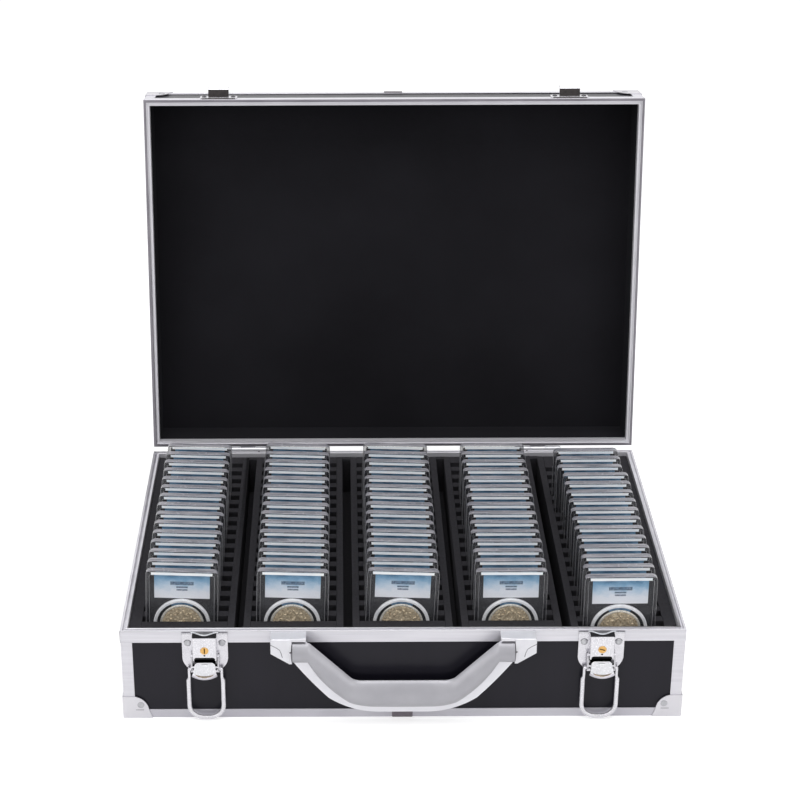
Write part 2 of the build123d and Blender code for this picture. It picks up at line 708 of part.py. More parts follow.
def latch_lever(centre_x):
    """Thumb tab that stands out from the case, joined by a web to two cheeks whose barrels carry the bail."""
    tilt = radians(TAB_TILT)
    tab_plane = Plane(
        origin=(centre_x, TAB_TOP_Y, TAB_TOP_Z),
        x_dir=(1, 0, 0),
        z_dir=(0, -cos(tilt), sin(tilt)),
    )
    with BuildPart() as lever:
        # Thumb tab, flared towards its curved lip
        with BuildSketch(tab_plane):
            with BuildLine():
                Line((-TAB_TOP_W / 2, 0), (TAB_TOP_W / 2, 0))
                for side in (-1, 1):
                    ThreePointArc(
                        (side * TAB_TOP_W / 2, 0),
                        (side * TAB_MID_W / 2, -TAB_LENGTH / 2),
                        (side * TAB_LOW_W / 2, -TAB_LENGTH),
                    )
                ThreePointArc(
                    (TAB_LOW_W / 2, -TAB_LENGTH),
                    (0, -TAB_LENGTH - TAB_LIP_DROP),
                    (-TAB_LOW_W / 2, -TAB_LENGTH),
                )
            make_face()
        extrude(amount=-TAB_T)
        # Web from the tab back to the cheeks, between the housing and the bail's pins
        web_front = TAB_TOP_Y - (TAB_TOP_Z - WEB_Z) * tan(tilt) + TAB_T / cos(tilt) - WEB_SINK
        with BuildSketch(Plane.YZ.offset(centre_x - CHEEK_OUTER_X)):
            with Locations(((web_front + BAIL_PIVOT_Y) / 2, WEB_Z)):
                Rectangle(BAIL_PIVOT_Y - web_front, WEB_T)
        extrude(amount=2 * CHEEK_OUTER_X)
        # Trim the web where it runs wider than the tab, so that only its root reaches the cheeks
        for side in (-1, 1):
            with BuildSketch(Plane.XY.offset(WEB_Z - WEB_T)):
                with Locations((centre_x + side * CHEEK_OUTER_X, (web_front + LEVER_PIVOT_Y - CHEEK_BOSS_R) / 2)):
                    Rectangle(
                        2 * (CHEEK_OUTER_X - TAB_TOP_W / 2),
                        LEVER_PIVOT_Y - CHEEK_BOSS_R - web_front,
                    )
            extrude(amount=2 * WEB_T, mode=Mode.SUBTRACT)
        # Cheeks, each with a barrel at its foot
        for side in (-1, 1):
            with BuildSketch(Plane.YZ.offset(centre_x + side * CHEEK_OUTER_X)):
                with Locations((LEVER_PIVOT_Y, LEVER_PIVOT_Z)):
                    Circle(CHEEK_BOSS_R)
                with Locations((LEVER_PIVOT_Y, (LEVER_PIVOT_Z + BAIL_PIVOT_Z) / 2)):
                    Rectangle(CHEEK_NECK_W, LEVER_PIVOT_Z - BAIL_PIVOT_Z)
            extrude(amount=-side * CHEEK_T)
            with BuildSketch(Plane.YZ.offset(centre_x + side * CHEEK_OUTER_X)):
                with Locations((BAIL_PIVOT_Y, BAIL_PIVOT_Z)):
                    Circle(BARREL_R)
            extrude(amount=-side * (CHEEK_T + BARREL_IN))
            with BuildSketch(Plane.YZ.offset(centre_x + side * CHEEK_OUTER_X)):
                with Locations((LEVER_PIVOT_Y, LEVER_PIVOT_Z)):
                    Circle(LEVER_PIN_R + LEVER_PIN_CLEAR)
            extrude(amount=-side * CHEEK_T, mode=Mode.SUBTRACT)
            with BuildSketch(Plane.YZ.offset(centre_x + side * CHEEK_OUTER_X)):
                with Locations((BAIL_PIVOT_Y, BAIL_PIVOT_Z)):
                    Circle(BAIL_PIN_R + BAIL_PIN_CLEAR)
            extrude(amount=-side * (CHEEK_T + BARREL_IN), mode=Mode.SUBTRACT)
    return lever.part


def latch_bail(centre_x):
    """Wire loop: bent-in pivots, narrowed necks and a thicker U below them."""
    reach, leg_top, neck_low = -BAIL_REACH, -BAIL_JOG_END, -BAIL_JOG_START
    plane = Plane(origin=(0, 0, 0), x_dir=(1, 0, 0), z_dir=(0, -1, 0))
    with BuildPart() as bail:
        with BuildLine(plane) as loop:
            FilletPolyline(
                (-BAIL_LEG_X, leg_top),
                (-BAIL_LEG_X, reach),
                (BAIL_LEG_X, reach),
                (BAIL_LEG_X, leg_top),
                radius=BAIL_CORNER_R,
            )
        with BuildSketch(Plane(origin=loop.line @ 0, z_dir=loop.line % 0)):
            Circle(BAIL_WIRE_R)
        sweep(path=loop.line)
        for side in (-1, 1):
            # Tapered jog from the thick leg to the neck
            with BuildSketch(Plane.XY.offset(leg_top)):
                with Locations((side * BAIL_LEG_X, 0)):
                    Circle(BAIL_WIRE_R)
            with BuildSketch(Plane.XY.offset(neck_low)):
                with Locations((side * BAIL_NECK_X, 0)):
                    Circle(BAIL_PIN_R)
            loft()
            with BuildSketch(Plane.XY.offset(neck_low)):
                with Locations((side * BAIL_NECK_X, 0)):
                    Circle(BAIL_PIN_R)
            extrude(amount=BAIL_JOG_START)
            with Locations((side * BAIL_NECK_X, 0, 0)):
                Sphere(BAIL_PIN_R)
            pin_end = CHEEK_INNER_X - BAIL_PIN_IN
            with BuildSketch(Plane.YZ.offset(side * pin_end)):
                Circle(BAIL_PIN_R)
            extrude(amount=side * (BAIL_NECK_X - pin_end))
    return Pos(centre_x, BAIL_PIVOT_Y, BAIL_PIVOT_Z) * bail.part


latch_centres = {"left": -LATCH_X, "right": LATCH_X}
save("latch_plates", [latch_plate(x) for x in latch_centres.values()])
save("lock_housings", [lock_housing(x) for x in latch_centres.values()])
save("latch_lever_pins", [lever_pin(x) for x in latch_centres.values()])
plate_rivet_plane = Plane(origin=(0, PLATE_FACE, 0), x_dir=(1, 0, 0), z_dir=(0, -1, 0))
plate_rivet_points = [
    (x + side * PLATE_RIVET_X, PLATE_RIVET_Z) for x in latch_centres.values() for side in (-1, 1)
]
save("latch_rivets", rivet_heads(plate_rivet_plane, plate_rivet_points, PLATE_RIVET_R, PLATE_RIVET_H))
for name, x in latch_centres.items():
    save(f"{name}_latch_lever", [latch_lever(x)])
    save(f"{name}_latch_bail", [latch_bail(x)])
    save(f"{name}_lock_cylinder", [lock_cylinder(x, 0 if name == "left" else RIGHT_LOCK_TURN)])


# ---------------------------------------------------------------- lid catches
# The tongue is as high as the bail's rounded corners leave room for at its two edges
BAIL_INNER_R = BAIL_CORNER_R - BAIL_WIRE_R
CATCH_OVERHANG = CATCH_W / 2 - (BAIL_LEG_X - BAIL_CORNER_R)
BAIL_CORNER_DROP = BAIL_INNER_R - sqrt(BAIL_INNER_R**2 - CATCH_OVERHANG**2)
CATCH_TOP = BAIL_PIVOT_Z + BAIL_REACH - BAIL_WIRE_R - BAIL_CORNER_DROP - CATCH_SEAT_CLEAR
CATCH_FACE = FRONT - PLATE_T


def lid_catch(centre_x):
    """Hooked tongue that the bail seats on, rising from a riveted plate on the closed lid's front."""
    plate_low = LID_LOW + CATCH_PLATE_RISE
    with BuildPart() as catch:
        with BuildSketch(Plane.XZ.offset(HALF_D)):
            with Locations((centre_x, plate_low + CATCH_PLATE_H / 2)):
                RectangleRounded(CATCH_PLATE_W, CATCH_PLATE_H, CATCH_PLATE_R)
        extrude(amount=PLATE_T)
        tongue_low = CATCH_TOP - CATCH_T
        lip_start = CATCH_FACE - CATCH_REACH
        with BuildSketch(Plane.YZ.offset(centre_x - CATCH_W / 2)):
            with BuildLine():
                Polyline(
                    (FRONT, tongue_low),
                    (lip_start, tongue_low),
                    (lip_start - CATCH_LIP_OUT, tongue_low + CATCH_LIP_UP),
                    (lip_start - CATCH_LIP_OUT + CATCH_T, tongue_low + CATCH_LIP_UP + CATCH_LIP_TAPER),
                    (lip_start + CATCH_BEND, CATCH_TOP),
                    (FRONT, CATCH_TOP),
                    close=True,
                )
            make_face()
        extrude(amount=CATCH_W)
    return catch.part


save("lid_catches", [lid_catch(x) for x in latch_centres.values()], opened=True)
catch_rivet_plane = Plane(origin=(0, CATCH_FACE, 0), x_dir=(1, 0, 0), z_dir=(0, -1, 0))
catch_rivet_z = LID_LOW + CATCH_PLATE_RISE + CATCH_PLATE_H / 2
catch_rivet_points = [
    (x + side * CATCH_RIVET_X, catch_rivet_z) for x in latch_centres.values() for side in (-1, 1)
]
catch_rivets = rivet_heads(catch_rivet_plane, catch_rivet_points, CATCH_RIVET_R, PLATE_RIVET_H)
save("lid_catch_rivets", catch_rivets, opened=True)

# ---------------------------------------------------------------- handle
BRACKET_INNER_X = HANDLE_SPAN / 2 - BRACKET_W
ARM_OUTER_X = BRACKET_INNER_X - HANDLE_SIDE_CLEAR
GRIP_INNER_X = ARM_OUTER_X - GRIP_INNER_IN
SHELL_KNEE_X = ARM_OUTER_X - SHELL_KNEE_IN
LIP_KNEE_X = ARM_OUTER_X - LIP_KNEE_IN
HANDLE_PIVOT_Y = FRONT - HANDLE_PIVOT_OUT


def handle_bracket():
    """Right-hand bracket: a six-sided block with a stop tab over the arm and a blind bore for its pin."""
    outer = HANDLE_SPAN / 2
    with BuildPart() as bracket:
        with BuildSketch(Plane.XZ.offset(HALF_D)):
            with BuildLine():
                Polyline(
                    (BRACKET_INNER_X, BRACKET_TOP),
                    (outer, BRACKET_TOP),
                    (outer, BRACKET_SHOULDER_Z),
                    (BRACKET_INNER_X + BRACKET_TIP_W, BRACKET_TIP_Z),
                    (BRACKET_INNER_X, BRACKET_TIP_Z),
                    close=True,
                )
            make_face()
        extrude(amount=BRACKET_DEPTH)
        fillet(bracket.faces().sort_by(Axis.Y)[0].edges(), BRACKET_R)
        with BuildSketch(Plane.XZ.offset(HALF_D)):
            with Locations((BRACKET_INNER_X + (STOP_TAB_ROOT - STOP_TAB_L) / 2, BRACKET_TOP - STOP_TAB_T / 2)):
                Rectangle(STOP_TAB_L + STOP_TAB_ROOT, STOP_TAB_T)
        extrude(amount=BRACKET_DEPTH - BRACKET_R)
        with BuildSketch(Plane.YZ.offset(BRACKET_INNER_X)):
            with Locations((HANDLE_PIVOT_Y, HANDLE_PIVOT_Z)):
                Circle(HANDLE_PIN_R)
        extrude(amount=HANDLE_PIN_IN_BRACKET, mode=Mode.SUBTRACT)
    return bracket.part


ARM_TOP_Z = HANDLE_PIVOT_Z + ARM_END_R
ARM_TOP_X = ARM_OUTER_X - ARM_TOP_L
ARM_RUN = ARM_TOP_X - GRIP_INNER_X
ARM_RISE = ARM_TOP_Z - GRIP_INNER_Z
ARM_SLANT = hypot(ARM_RUN, ARM_RISE)


def grip_upper_edges(arm_low, inset=0.0):
    """The finger gap's edge and both arms' ends, down to arm_low. inset widens the gap all round."""
    top_x = ARM_TOP_X + inset * ARM_SLANT / ARM_RISE
    knee_x = GRIP_INNER_X + inset * (ARM_SLANT - ARM_RUN) / ARM_RISE
    FilletPolyline(
        (-top_x, ARM_TOP_Z),
        (-knee_x, GRIP_INNER_Z - inset),
        (knee_x, GRIP_INNER_Z - inset),
        (top_x, ARM_TOP_Z),
        radius=GRIP_INNER_R + inset,
    )
    for side in (-1, 1):
        Polyline((side * top_x, ARM_TOP_Z), (side * ARM_OUTER_X, ARM_TOP_Z), (side * ARM_OUTER_X, arm_low))


def trim_arm_ends():
    """Round both arm ends about the pivot and bore them for the pins."""
    with BuildSketch(Plane.YZ.offset(-HANDLE_SPAN / 2)) as waste:
        with Locations((HANDLE_PIVOT_Y, HANDLE_PIVOT_Z + ARM_END_R)):
            Rectangle(4 * ARM_END_R, 2 * ARM_END_R)
        with Locations((HANDLE_PIVOT_Y, HANDLE_PIVOT_Z)):
            Circle(ARM_END_R, mode=Mode.SUBTRACT)
    extrude(waste.sketch, amount=HANDLE_SPAN, mode=Mode.SUBTRACT)
    for side in (-1, 1):
        with BuildSketch(Plane.YZ.offset(side * ARM_OUTER_X)) as bore:
            with Locations((HANDLE_PIVOT_Y, HANDLE_PIVOT_Z)):
                Circle(HANDLE_PIN_R + HANDLE_PIN_CLEAR)
        bore_length = HANDLE_PIN_IN_ARM + HANDLE_PIN_END_ROOM
        extrude(bore.sketch, amount=-side * bore_length, mode=Mode.SUBTRACT)


arm_low = HANDLE_PIVOT_Z - ARM_HEIGHT_BELOW
shell_flat = SHELL_KNEE_X - SHELL_FOOT_RUN
lip_flat = LIP_KNEE_X - LIP_FOOT_RUN
with BuildPart() as handle_grip_shell:
    with BuildSketch(Plane.XZ.offset(-(FRONT - SHELL_BACK_OUT))):
        with BuildLine():
            grip_upper_edges(arm_low)
            for side in (-1, 1):
                Line((side * ARM_OUTER_X, arm_low), (side * (ARM_OUTER_X - ARM_BOTTOM_L), arm_low))
                ThreePointArc(
                    (side * (ARM_OUTER_X - ARM_BOTTOM_L), arm_low),
                    (side * (SHELL_KNEE_X + SHELL_SIDE_ARC[0]), SHELL_KNEE_Z + SHELL_SIDE_ARC[1]),
                    (side * SHELL_KNEE_X, SHELL_KNEE_Z),
                )
                ThreePointArc(
                    (side * SHELL_KNEE_X, SHELL_KNEE_Z),
                    (side * (SHELL_KNEE_X - SHELL_FOOT_ARC[0]), SHELL_LOW_Z + SHELL_FOOT_ARC[1]),
                    (side * shell_flat, SHELL_LOW_Z),
                )
            Line((-shell_flat, SHELL_LOW_Z), (shell_flat, SHELL_LOW_Z))
        make_face()
    extrude(amount=SHELL_FRONT_OUT - SHELL_BACK_OUT)
    fillet(handle_grip_shell.faces().sort_by(Axis.Y)[0].edges(), SHELL_EDGE_R)
    trim_arm_ends()
save("handle_grip_shell", [handle_grip_shell.part])

with BuildPart() as handle_grip_plate:
    with BuildSketch(Plane.XZ.offset(-(FRONT - PLATE_BACK_OUT))):
        with BuildLine():
            grip_upper_edges(arm_low, PLATE_INSET)
            for side in (-1, 1):
                ThreePointArc(
                    (side * ARM_OUTER_X, arm_low),
                    (side * (LIP_KNEE_X + LIP_SIDE_ARC[0]), LIP_KNEE_Z + LIP_SIDE_ARC[1]),
                    (side * LIP_KNEE_X, LIP_KNEE_Z),
                )
                ThreePointArc(
                    (side * LIP_KNEE_X, LIP_KNEE_Z),
                    (side * (LIP_KNEE_X - LIP_FOOT_ARC[0]), LIP_LOW_Z + LIP_FOOT_ARC[1]),
                    (side * lip_flat, LIP_LOW_Z),
                )
            Line((-lip_flat, LIP_LOW_Z), (lip_flat, LIP_LOW_Z))
        make_face()
    extrude(amount=SHELL_BACK_OUT - PLATE_BACK_OUT)
    trim_arm_ends()
save("handle_grip_plate", [handle_grip_plate.part])

bracket_right = handle_bracket()
save("handle_brackets", [bracket_right, bracket_right.mirror(Plane.YZ)])

with BuildPart() as handle_pin:
    with BuildSketch(Plane.YZ.offset(ARM_OUTER_X - HANDLE_PIN_IN_ARM)):
        with Locations((HANDLE_PIVOT_Y, HANDLE_PIVOT_Z)):
            Circle(HANDLE_PIN_R)
    extrude(amount=HANDLE_PIN_IN_ARM + HANDLE_SIDE_CLEAR + HANDLE_PIN_IN_BRACKET)
save("handle_pivot_pins", [handle_pin.part, handle_pin.part.mirror(Plane.YZ)])

# ---------------------------------------------------------------- foam
FOAM_HALF_W = HALF_W - RIM_W - FOAM_CLEAR
FOAM_HALF_D = HALF_D - RIM_W - FOAM_CLEAR
# Rows share the width left by the outer rails, and slots share the depth left by the end blocks
ROW_PITCH = (2 * (FOAM_HALF_W - SIDE_RAIL_W + INNER_RAIL_W) + GROOVE_BETWEEN_W) / ROW_COUNT
SLOT_LENGTH = ROW_PITCH - GROOVE_BETWEEN_W - 2 * INNER_RAIL_W
SLOT_PITCH = (2 * FOAM_HALF_D - FRONT_BLOCK - BACK_BLOCK - SLOT_THICK) / (SLOT_COUNT - 1)
FIRST_SLOT_Y = -FOAM_HALF_D + FRONT_BLOCK + SLOT_THICK / 2
LOOSE_SHIFT = LOOSE_CLEAR - (SLOT_LENGTH - HOLDER_W) / 2
row_centres = [(index - (ROW_COUNT - 1) / 2) * ROW_PITCH for index in range(ROW_COUNT)]
row_first_slots = [FIRST_SLOT_Y] * (ROW_COUNT - 1) + [FIRST_SLOT_Y - LAST_ROW_FORWARD]


def foam_block(x_low, x_high, y_low, y_high, low=PAD_TOP, high=FOAM_TOP):
    """A rectangular block of foam."""
    with BuildPart() as block:
        with BuildSketch(Plane.XY.offset(low)):
            with Locations(((x_low + x_high) / 2, (y_low + y_high) / 2)):
                Rectangle(x_high - x_low, y_high - y_low)
        extrude(amount=high - low)
    return block.part


save(
    "foam_floor_pad",
    [foam_block(-FOAM_HALF_W, FOAM_HALF_W, -FOAM_HALF_D, FOAM_HALF_D, FLOOR_T, PAD_TOP)],
)

rails = []
for index, row_x in enumerate(row_centres):
    groove_edge = ROW_PITCH / 2 - GROOVE_BETWEEN_W / 2
    left_edge = -FOAM_HALF_W if index == 0 else row_x - groove_edge
    right_edge = FOAM_HALF_W if index == ROW_COUNT - 1 else row_x + groove_edge
    rails.append(foam_block(left_edge, row_x - SLOT_LENGTH / 2, -FOAM_HALF_D, FOAM_HALF_D))
    rails.append(foam_block(row_x + SLOT_LENGTH / 2, right_edge, -FOAM_HALF_D, FOAM_HALF_D))
    if index < ROW_COUNT - 1:
        next_left = right_edge + GROOVE_BETWEEN_W
        rails.append(foam_block(right_edge, next_left, FOAM_HALF_D - GROOVE_END_T, FOAM_HALF_D))
save("foam_side_rails", rails)

dividers = []
for row_x, first_y in zip(row_centres, row_first_slots):
    left, right = row_x - SLOT_LENGTH / 2, row_x + SLOT_LENGTH / 2
    slot_centres = [first_y + slot * SLOT_PITCH for slot in range(SLOT_COUNT)]
    front_end = slot_centres[0] - SLOT_THICK / 2
    with BuildPart() as front_divider:
        with BuildSketch(Plane.XY.offset(PAD_TOP)):
            with Locations((row_x, (front_end - FOAM_HALF_D) / 2)):
                Rectangle(SLOT_LENGTH, front_end + FOAM_HALF_D)
        extrude(amount=FOAM_TOP - PAD_TOP)
        relief_depth = min(FRONT_RELIEF_D, (front_end + FOAM_HALF_D) / 2)
        with BuildSketch(Plane.XY.offset(FOAM_TOP)):
            with Locations((row_x, -FOAM_HALF_D + relief_depth / 2)):
                Rectangle(FRONT_RELIEF_W, relief_depth)
        extrude(amount=-(FOAM_TOP - PAD_TOP) / 2, mode=Mode.SUBTRACT)
    dividers.append(front_divider.part)
    for slot_y in slot_centres:
        start = slot_y + SLOT_THICK / 2
        end = start + SLOT_PITCH - SLOT_THICK
        if slot_y == slot_centres[-1]:
            end = FOAM_HALF_D
        dividers.append(foam_block(left, right, start, end))
save("foam_slot_dividers", dividers)

# ---------------------------------------------------------------- coin holders
HOLDER_LOW = PAD_TOP + HOLDER_SEAT


def holder_plane(x, y):
    """The mid-thickness plane of one holder, with its origin at the holder's bottom middle."""
    return Plane(origin=(x, y, HOLDER_LOW), x_dir=(1, 0, 0), z_dir=(0, -1, 0))


def coin_holder(x, y):
    """Welded clear holder: rounded block with recessed windows and closed wells for label and coin."""
    plane = holder_plane(x, y)
    with BuildPart() as holder:
        with BuildSketch(plane):
            with Locations((0, HOLDER_H / 2)):
                RectangleRounded(HOLDER_W, HOLDER_H, HOLDER_R)
        extrude(amount=HOLDER_T / 2, both=True)
        for face_sign in (-1, 1):
            with BuildSketch(plane.offset(face_sign * HOLDER_T / 2)):
                with Locations((0, HOLDER_H / 2)):
                    RectangleRounded(
                        HOLDER_W - 2 * WINDOW_BORDER, HOLDER_H - 2 * WINDOW_BORDER, HOLDER_R / 2
                    )
            extrude(amount=-face_sign * WINDOW_DEPTH, mode=Mode.SUBTRACT)
        with BuildSketch(plane):
            with Locations((0, COIN_Z)):
                Circle(COIN_R + INSERT_CLEAR)
        extrude(amount=COIN_T / 2 + INSERT_CLEAR, both=True, mode=Mode.SUBTRACT)
        with BuildSketch(plane):
            with Locations((0, LABEL_Z)):
                Rectangle(LABEL_W + 2 * INSERT_CLEAR, LABEL_H + 2 * INSERT_CLEAR)
        extrude(amount=LABEL_T / 2 + INSERT_CLEAR, both=True, mode=Mode.SUBTRACT)
    return holder.part


def coin(x, y):
    """Coin blank."""
    with BuildPart() as blank:
        with BuildSketch(holder_plane(x, y)):
            with Locations((0, COIN_Z)):
                Circle(COIN_R)
        extrude(amount=COIN_T / 2, both=True)
    return blank.part


def label(x, y):
    """Printed paper insert."""
    with BuildPart() as slip:
        with BuildSketch(holder_plane(x, y)):
            with Locations((0, LABEL_Z)):
                Rectangle(LABEL_W, LABEL_H)
        extrude(amount=LABEL_T / 2, both=True)
    return slip.part


first_holder, first_coin, first_label = coin_holder(0, 0), coin(0, 0), label(0, 0)
for number, (row_x, first_y, row_shift) in enumerate(zip(row_centres, row_first_slots, ROW_SHIFTS), start=1):
    # The last few holders of the last row stand against one end of their slots
    loose_from = FILLED_SLOTS - LOOSE_HOLDERS if number == ROW_COUNT else FILLED_SLOTS
    places = [
        Pos(row_x + (LOOSE_SHIFT if slot >= loose_from else row_shift), first_y + slot * SLOT_PITCH, 0)
        for slot in range(FILLED_SLOTS)
    ]
    save(f"row_{number}_holders", [place * first_holder for place in places])
    save(f"row_{number}_coins", [place * first_coin for place in places])
    save(f"row_{number}_labels", [place * first_label for place in places])
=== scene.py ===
"""Coin display case: an aluminium-framed case, open, with five rows of slabbed coins in black foam."""

import random
from math import cos, pi, radians, sin, sqrt

import bmesh
import bpy
from mathutils import Matrix, Vector


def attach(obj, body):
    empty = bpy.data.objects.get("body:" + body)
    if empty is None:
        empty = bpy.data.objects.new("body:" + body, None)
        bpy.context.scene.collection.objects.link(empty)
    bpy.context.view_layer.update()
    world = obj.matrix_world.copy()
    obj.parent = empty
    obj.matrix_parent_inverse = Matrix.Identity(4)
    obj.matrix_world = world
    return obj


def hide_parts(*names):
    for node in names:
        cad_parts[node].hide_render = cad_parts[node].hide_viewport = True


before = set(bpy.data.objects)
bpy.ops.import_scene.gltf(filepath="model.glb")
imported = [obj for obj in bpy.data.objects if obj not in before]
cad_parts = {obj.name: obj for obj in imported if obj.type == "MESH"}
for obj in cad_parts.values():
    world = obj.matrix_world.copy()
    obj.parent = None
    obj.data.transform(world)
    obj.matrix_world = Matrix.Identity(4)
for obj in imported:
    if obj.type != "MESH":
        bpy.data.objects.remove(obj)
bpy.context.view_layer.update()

# ---------------------------------------------------------------- camera
# A long lens in front of the open case and a little above it, looking down at it. The film plane is
# shifted sideways, and the camera is rolled a fifth of a degree.
CAMERA_PLACE = (-0.0532, -1.66256, 0.98242)
CAMERA_TILT = radians(65.47)
CAMERA_ROLL = radians(-0.2)
camera_data = bpy.data.cameras.new("camera")
camera_data.lens = 90.72
camera_data.sensor_width = 36.0
camera_data.shift_x = 0.07475
camera = bpy.data.objects.new("camera", camera_data)
camera.matrix_world = (
    Matrix.Translation(CAMERA_PLACE)
    @ Matrix.Rotation(CAMERA_TILT, 4, "X")
    @ Matrix.Rotation(CAMERA_ROLL, 4, "Z")
)
bpy.context.scene.collection.objects.link(camera)
bpy.context.scene.camera = camera

# ---------------------------------------------------------------- studio
# White floor in white surroundings, with one wide lamp overhead and two weaker ones in front. The
# camera and the reflections find both plain white, and the light they give off is weaker.
WORLD_LIGHT = 0.45
FLOOR_SIZE = 8.0
FLOOR_GREY = 0.78
FLOOR_GLOW = 0.55
WHITE = (1.0, 1.0, 1.0, 1.0)
bpy.context.scene.view_settings.view_transform = "Standard"


def preset(node, values):
    """A node with fixed values in some of its inputs."""
    for name, value in values.items():
        node.inputs[name].default_value = value
    return node


def math_node(tree, operation, *values):
    """The result of one Math node, on numbers or on other nodes' outputs."""
    node = tree.nodes.new("ShaderNodeMath")
    node.operation = operation
    for index, value in enumerate(values):
        if isinstance(value, float):
            node.inputs[index].default_value = value
        else:
            tree.links.new(value, node.inputs[index])
    return node.outputs[0]


def seen_directly(tree):
    """1 for camera, glossy and transmission rays, which find plain white."""
    path = tree.nodes.new("ShaderNodeLightPath")
    level = path.outputs["Is Camera Ray"]
    for kind in ("Is Glossy Ray", "Is Transmission Ray"):
        level = math_node(tree, "MAXIMUM", level, path.outputs[kind])
    return level


world = bpy.data.worlds.new("studio")
world.use_nodes = True
bpy.context.scene.world = world
tree = world.node_tree
background = preset(tree.nodes["Background"], {"Color": WHITE})
world_level = tree.nodes.new("ShaderNodeMix")
world_level.data_type = "FLOAT"
preset(world_level, {"A": WORLD_LIGHT, "B": 1.0})
tree.links.new(seen_directly(tree), world_level.inputs["Factor"])
tree.links.new(world_level.outputs["Result"], background.inputs["Strength"])

floor_mesh = bpy.data.meshes.new("floor")
bm = bmesh.new()
bmesh.ops.create_grid(bm, x_segments=1, y_segments=1, size=FLOOR_SIZE)
bm.to_mesh(floor_mesh)
bm.free()
floor = bpy.data.objects.new("floor", floor_mesh)
bpy.context.scene.collection.objects.link(floor)
floor_white = bpy.data.materials.new("floor_white")
floor_white.use_nodes = True
tree = floor_white.node_tree
floor_shader = preset(tree.nodes["Principled BSDF"], {
    "Base Color": (FLOOR_GREY, FLOOR_GREY, FLOOR_GREY, 1.0), "Roughness": 0.9,
    "Specular IOR Level": 0.0, "Emission Color": WHITE,
})
floor_glow = math_node(tree, "MULTIPLY", seen_directly(tree), FLOOR_GLOW)
tree.links.new(floor_glow, floor_shader.inputs["Emission Strength"])
floor_mesh.materials.append(floor_white)


def area_lamp(name, place, aim, size, watts):
    """A square lamp that faces a point."""
    data = bpy.data.lights.new(name, "AREA")
    data.size = size
    data.energy = watts
    lamp = bpy.data.objects.new(name, data)
    lamp.location = place
    lamp.rotation_euler = (Vector(aim) - Vector(place)).to_track_quat("-Z", "Y").to_euler()
    bpy.context.scene.collection.objects.link(lamp)


area_lamp("overhead_lamp", (0.0, -0.2, 2.4), (0.0, 0.0, 0.1), 2.4, 42.0)
area_lamp("left_lamp", (-1.9, -1.6, 1.3), (0.0, 0.0, 0.15), 1.4, 9.0)
area_lamp("right_lamp", (1.9, -1.6, 1.3), (0.0, 0.0, 0.15), 1.4, 9.0)

# ---------------------------------------------------------------- wall and floor boards
# Thin fibreboard faced with matt black plastic film: four walls and a floor for the base, and four
# walls and a top for the lid. They are slid into the aluminium frame.
def node_group(name, inputs, output):
    """A group of nodes with its sockets, its input node and its output node."""
    group = bpy.data.node_groups.new(name, "ShaderNodeTree")
    for socket, default in inputs.items():
        kind = "NodeSocketFloat" if isinstance(default, float) else "NodeSocketVector"
        group.interface.new_socket(socket, in_out="INPUT", socket_type=kind).default_value = default
    group.interface.new_socket(output, in_out="OUTPUT", socket_type="NodeSocketFloat")
    return group, group.nodes.new("NodeGroupInput"), group.nodes.new("NodeGroupOutput")


grain_group, group_in, group_out = node_group("uneven_grain", {
    "Vector": (0.0, 0.0, 0.0), "Stretch": (1.0, 1.0, 1.0), "Scale": 200.0, "Low": 0.0, "High": 1.0,
}, "Value")
stretched = grain_group.nodes.new("ShaderNodeVectorMath")
stretched.operation = "MULTIPLY"
noise = preset(grain_group.nodes.new("ShaderNodeTexNoise"), {"Detail": 3.0})
level = preset(grain_group.nodes.new("ShaderNodeMapRange"), {"From Min": 0.25, "From Max": 0.75})
for start, end in (
    (group_in.outputs["Vector"], stretched.inputs[0]),
    (group_in.outputs["Stretch"], stretched.inputs[1]),
    (stretched.outputs[0], noise.inputs["Vector"]),
    (group_in.outputs["Scale"], noise.inputs["Scale"]),
    (noise.outputs["Fac"], level.inputs["Value"]),
    (group_in.outputs["Low"], level.inputs["To Min"]),
    (group_in.outputs["High"], level.inputs["To Max"]),
    (level.outputs["Result"], group_out.inputs["Value"]),
):
    grain_group.links.new(start, end)


def grain(material, coordinates, scale, low, high, stretch=(1.0, 1.0, 1.0)):
    """One uneven_grain in a material, and its value."""
    node = material.node_tree.nodes.new("ShaderNodeGroup")
    node.node_tree = grain_group
    preset(node, {"Scale": scale, "Low": low, "High": high, "Stretch": stretch})
    material.node_tree.links.new(coordinates, node.inputs["Vector"])
    return node.outputs["Value"]


def drifting_colour(name, light, dark, patch, patch_stretch):
    """A material whose colour drifts in patches, with its shader and its Object coordinates."""
    material = bpy.data.materials.new(name)
    material.use_nodes = True
    nodes, links = material.node_tree.nodes, material.node_tree.links
    shader = nodes["Principled BSDF"]
    coordinates = nodes.new("ShaderNodeTexCoord").outputs["Object"]
    colour = nodes.new("ShaderNodeMix")
    colour.data_type = "RGBA"
    preset(colour, {"A": (*light, 1.0), "B": (*dark, 1.0)})
    links.new(grain(material, coordinates, patch, 0.0, 1.0, patch_stretch), colour.inputs["Factor"])
    links.new(colour.outputs["Result"], shader.inputs["Base Color"])
    return material, shader, coordinates


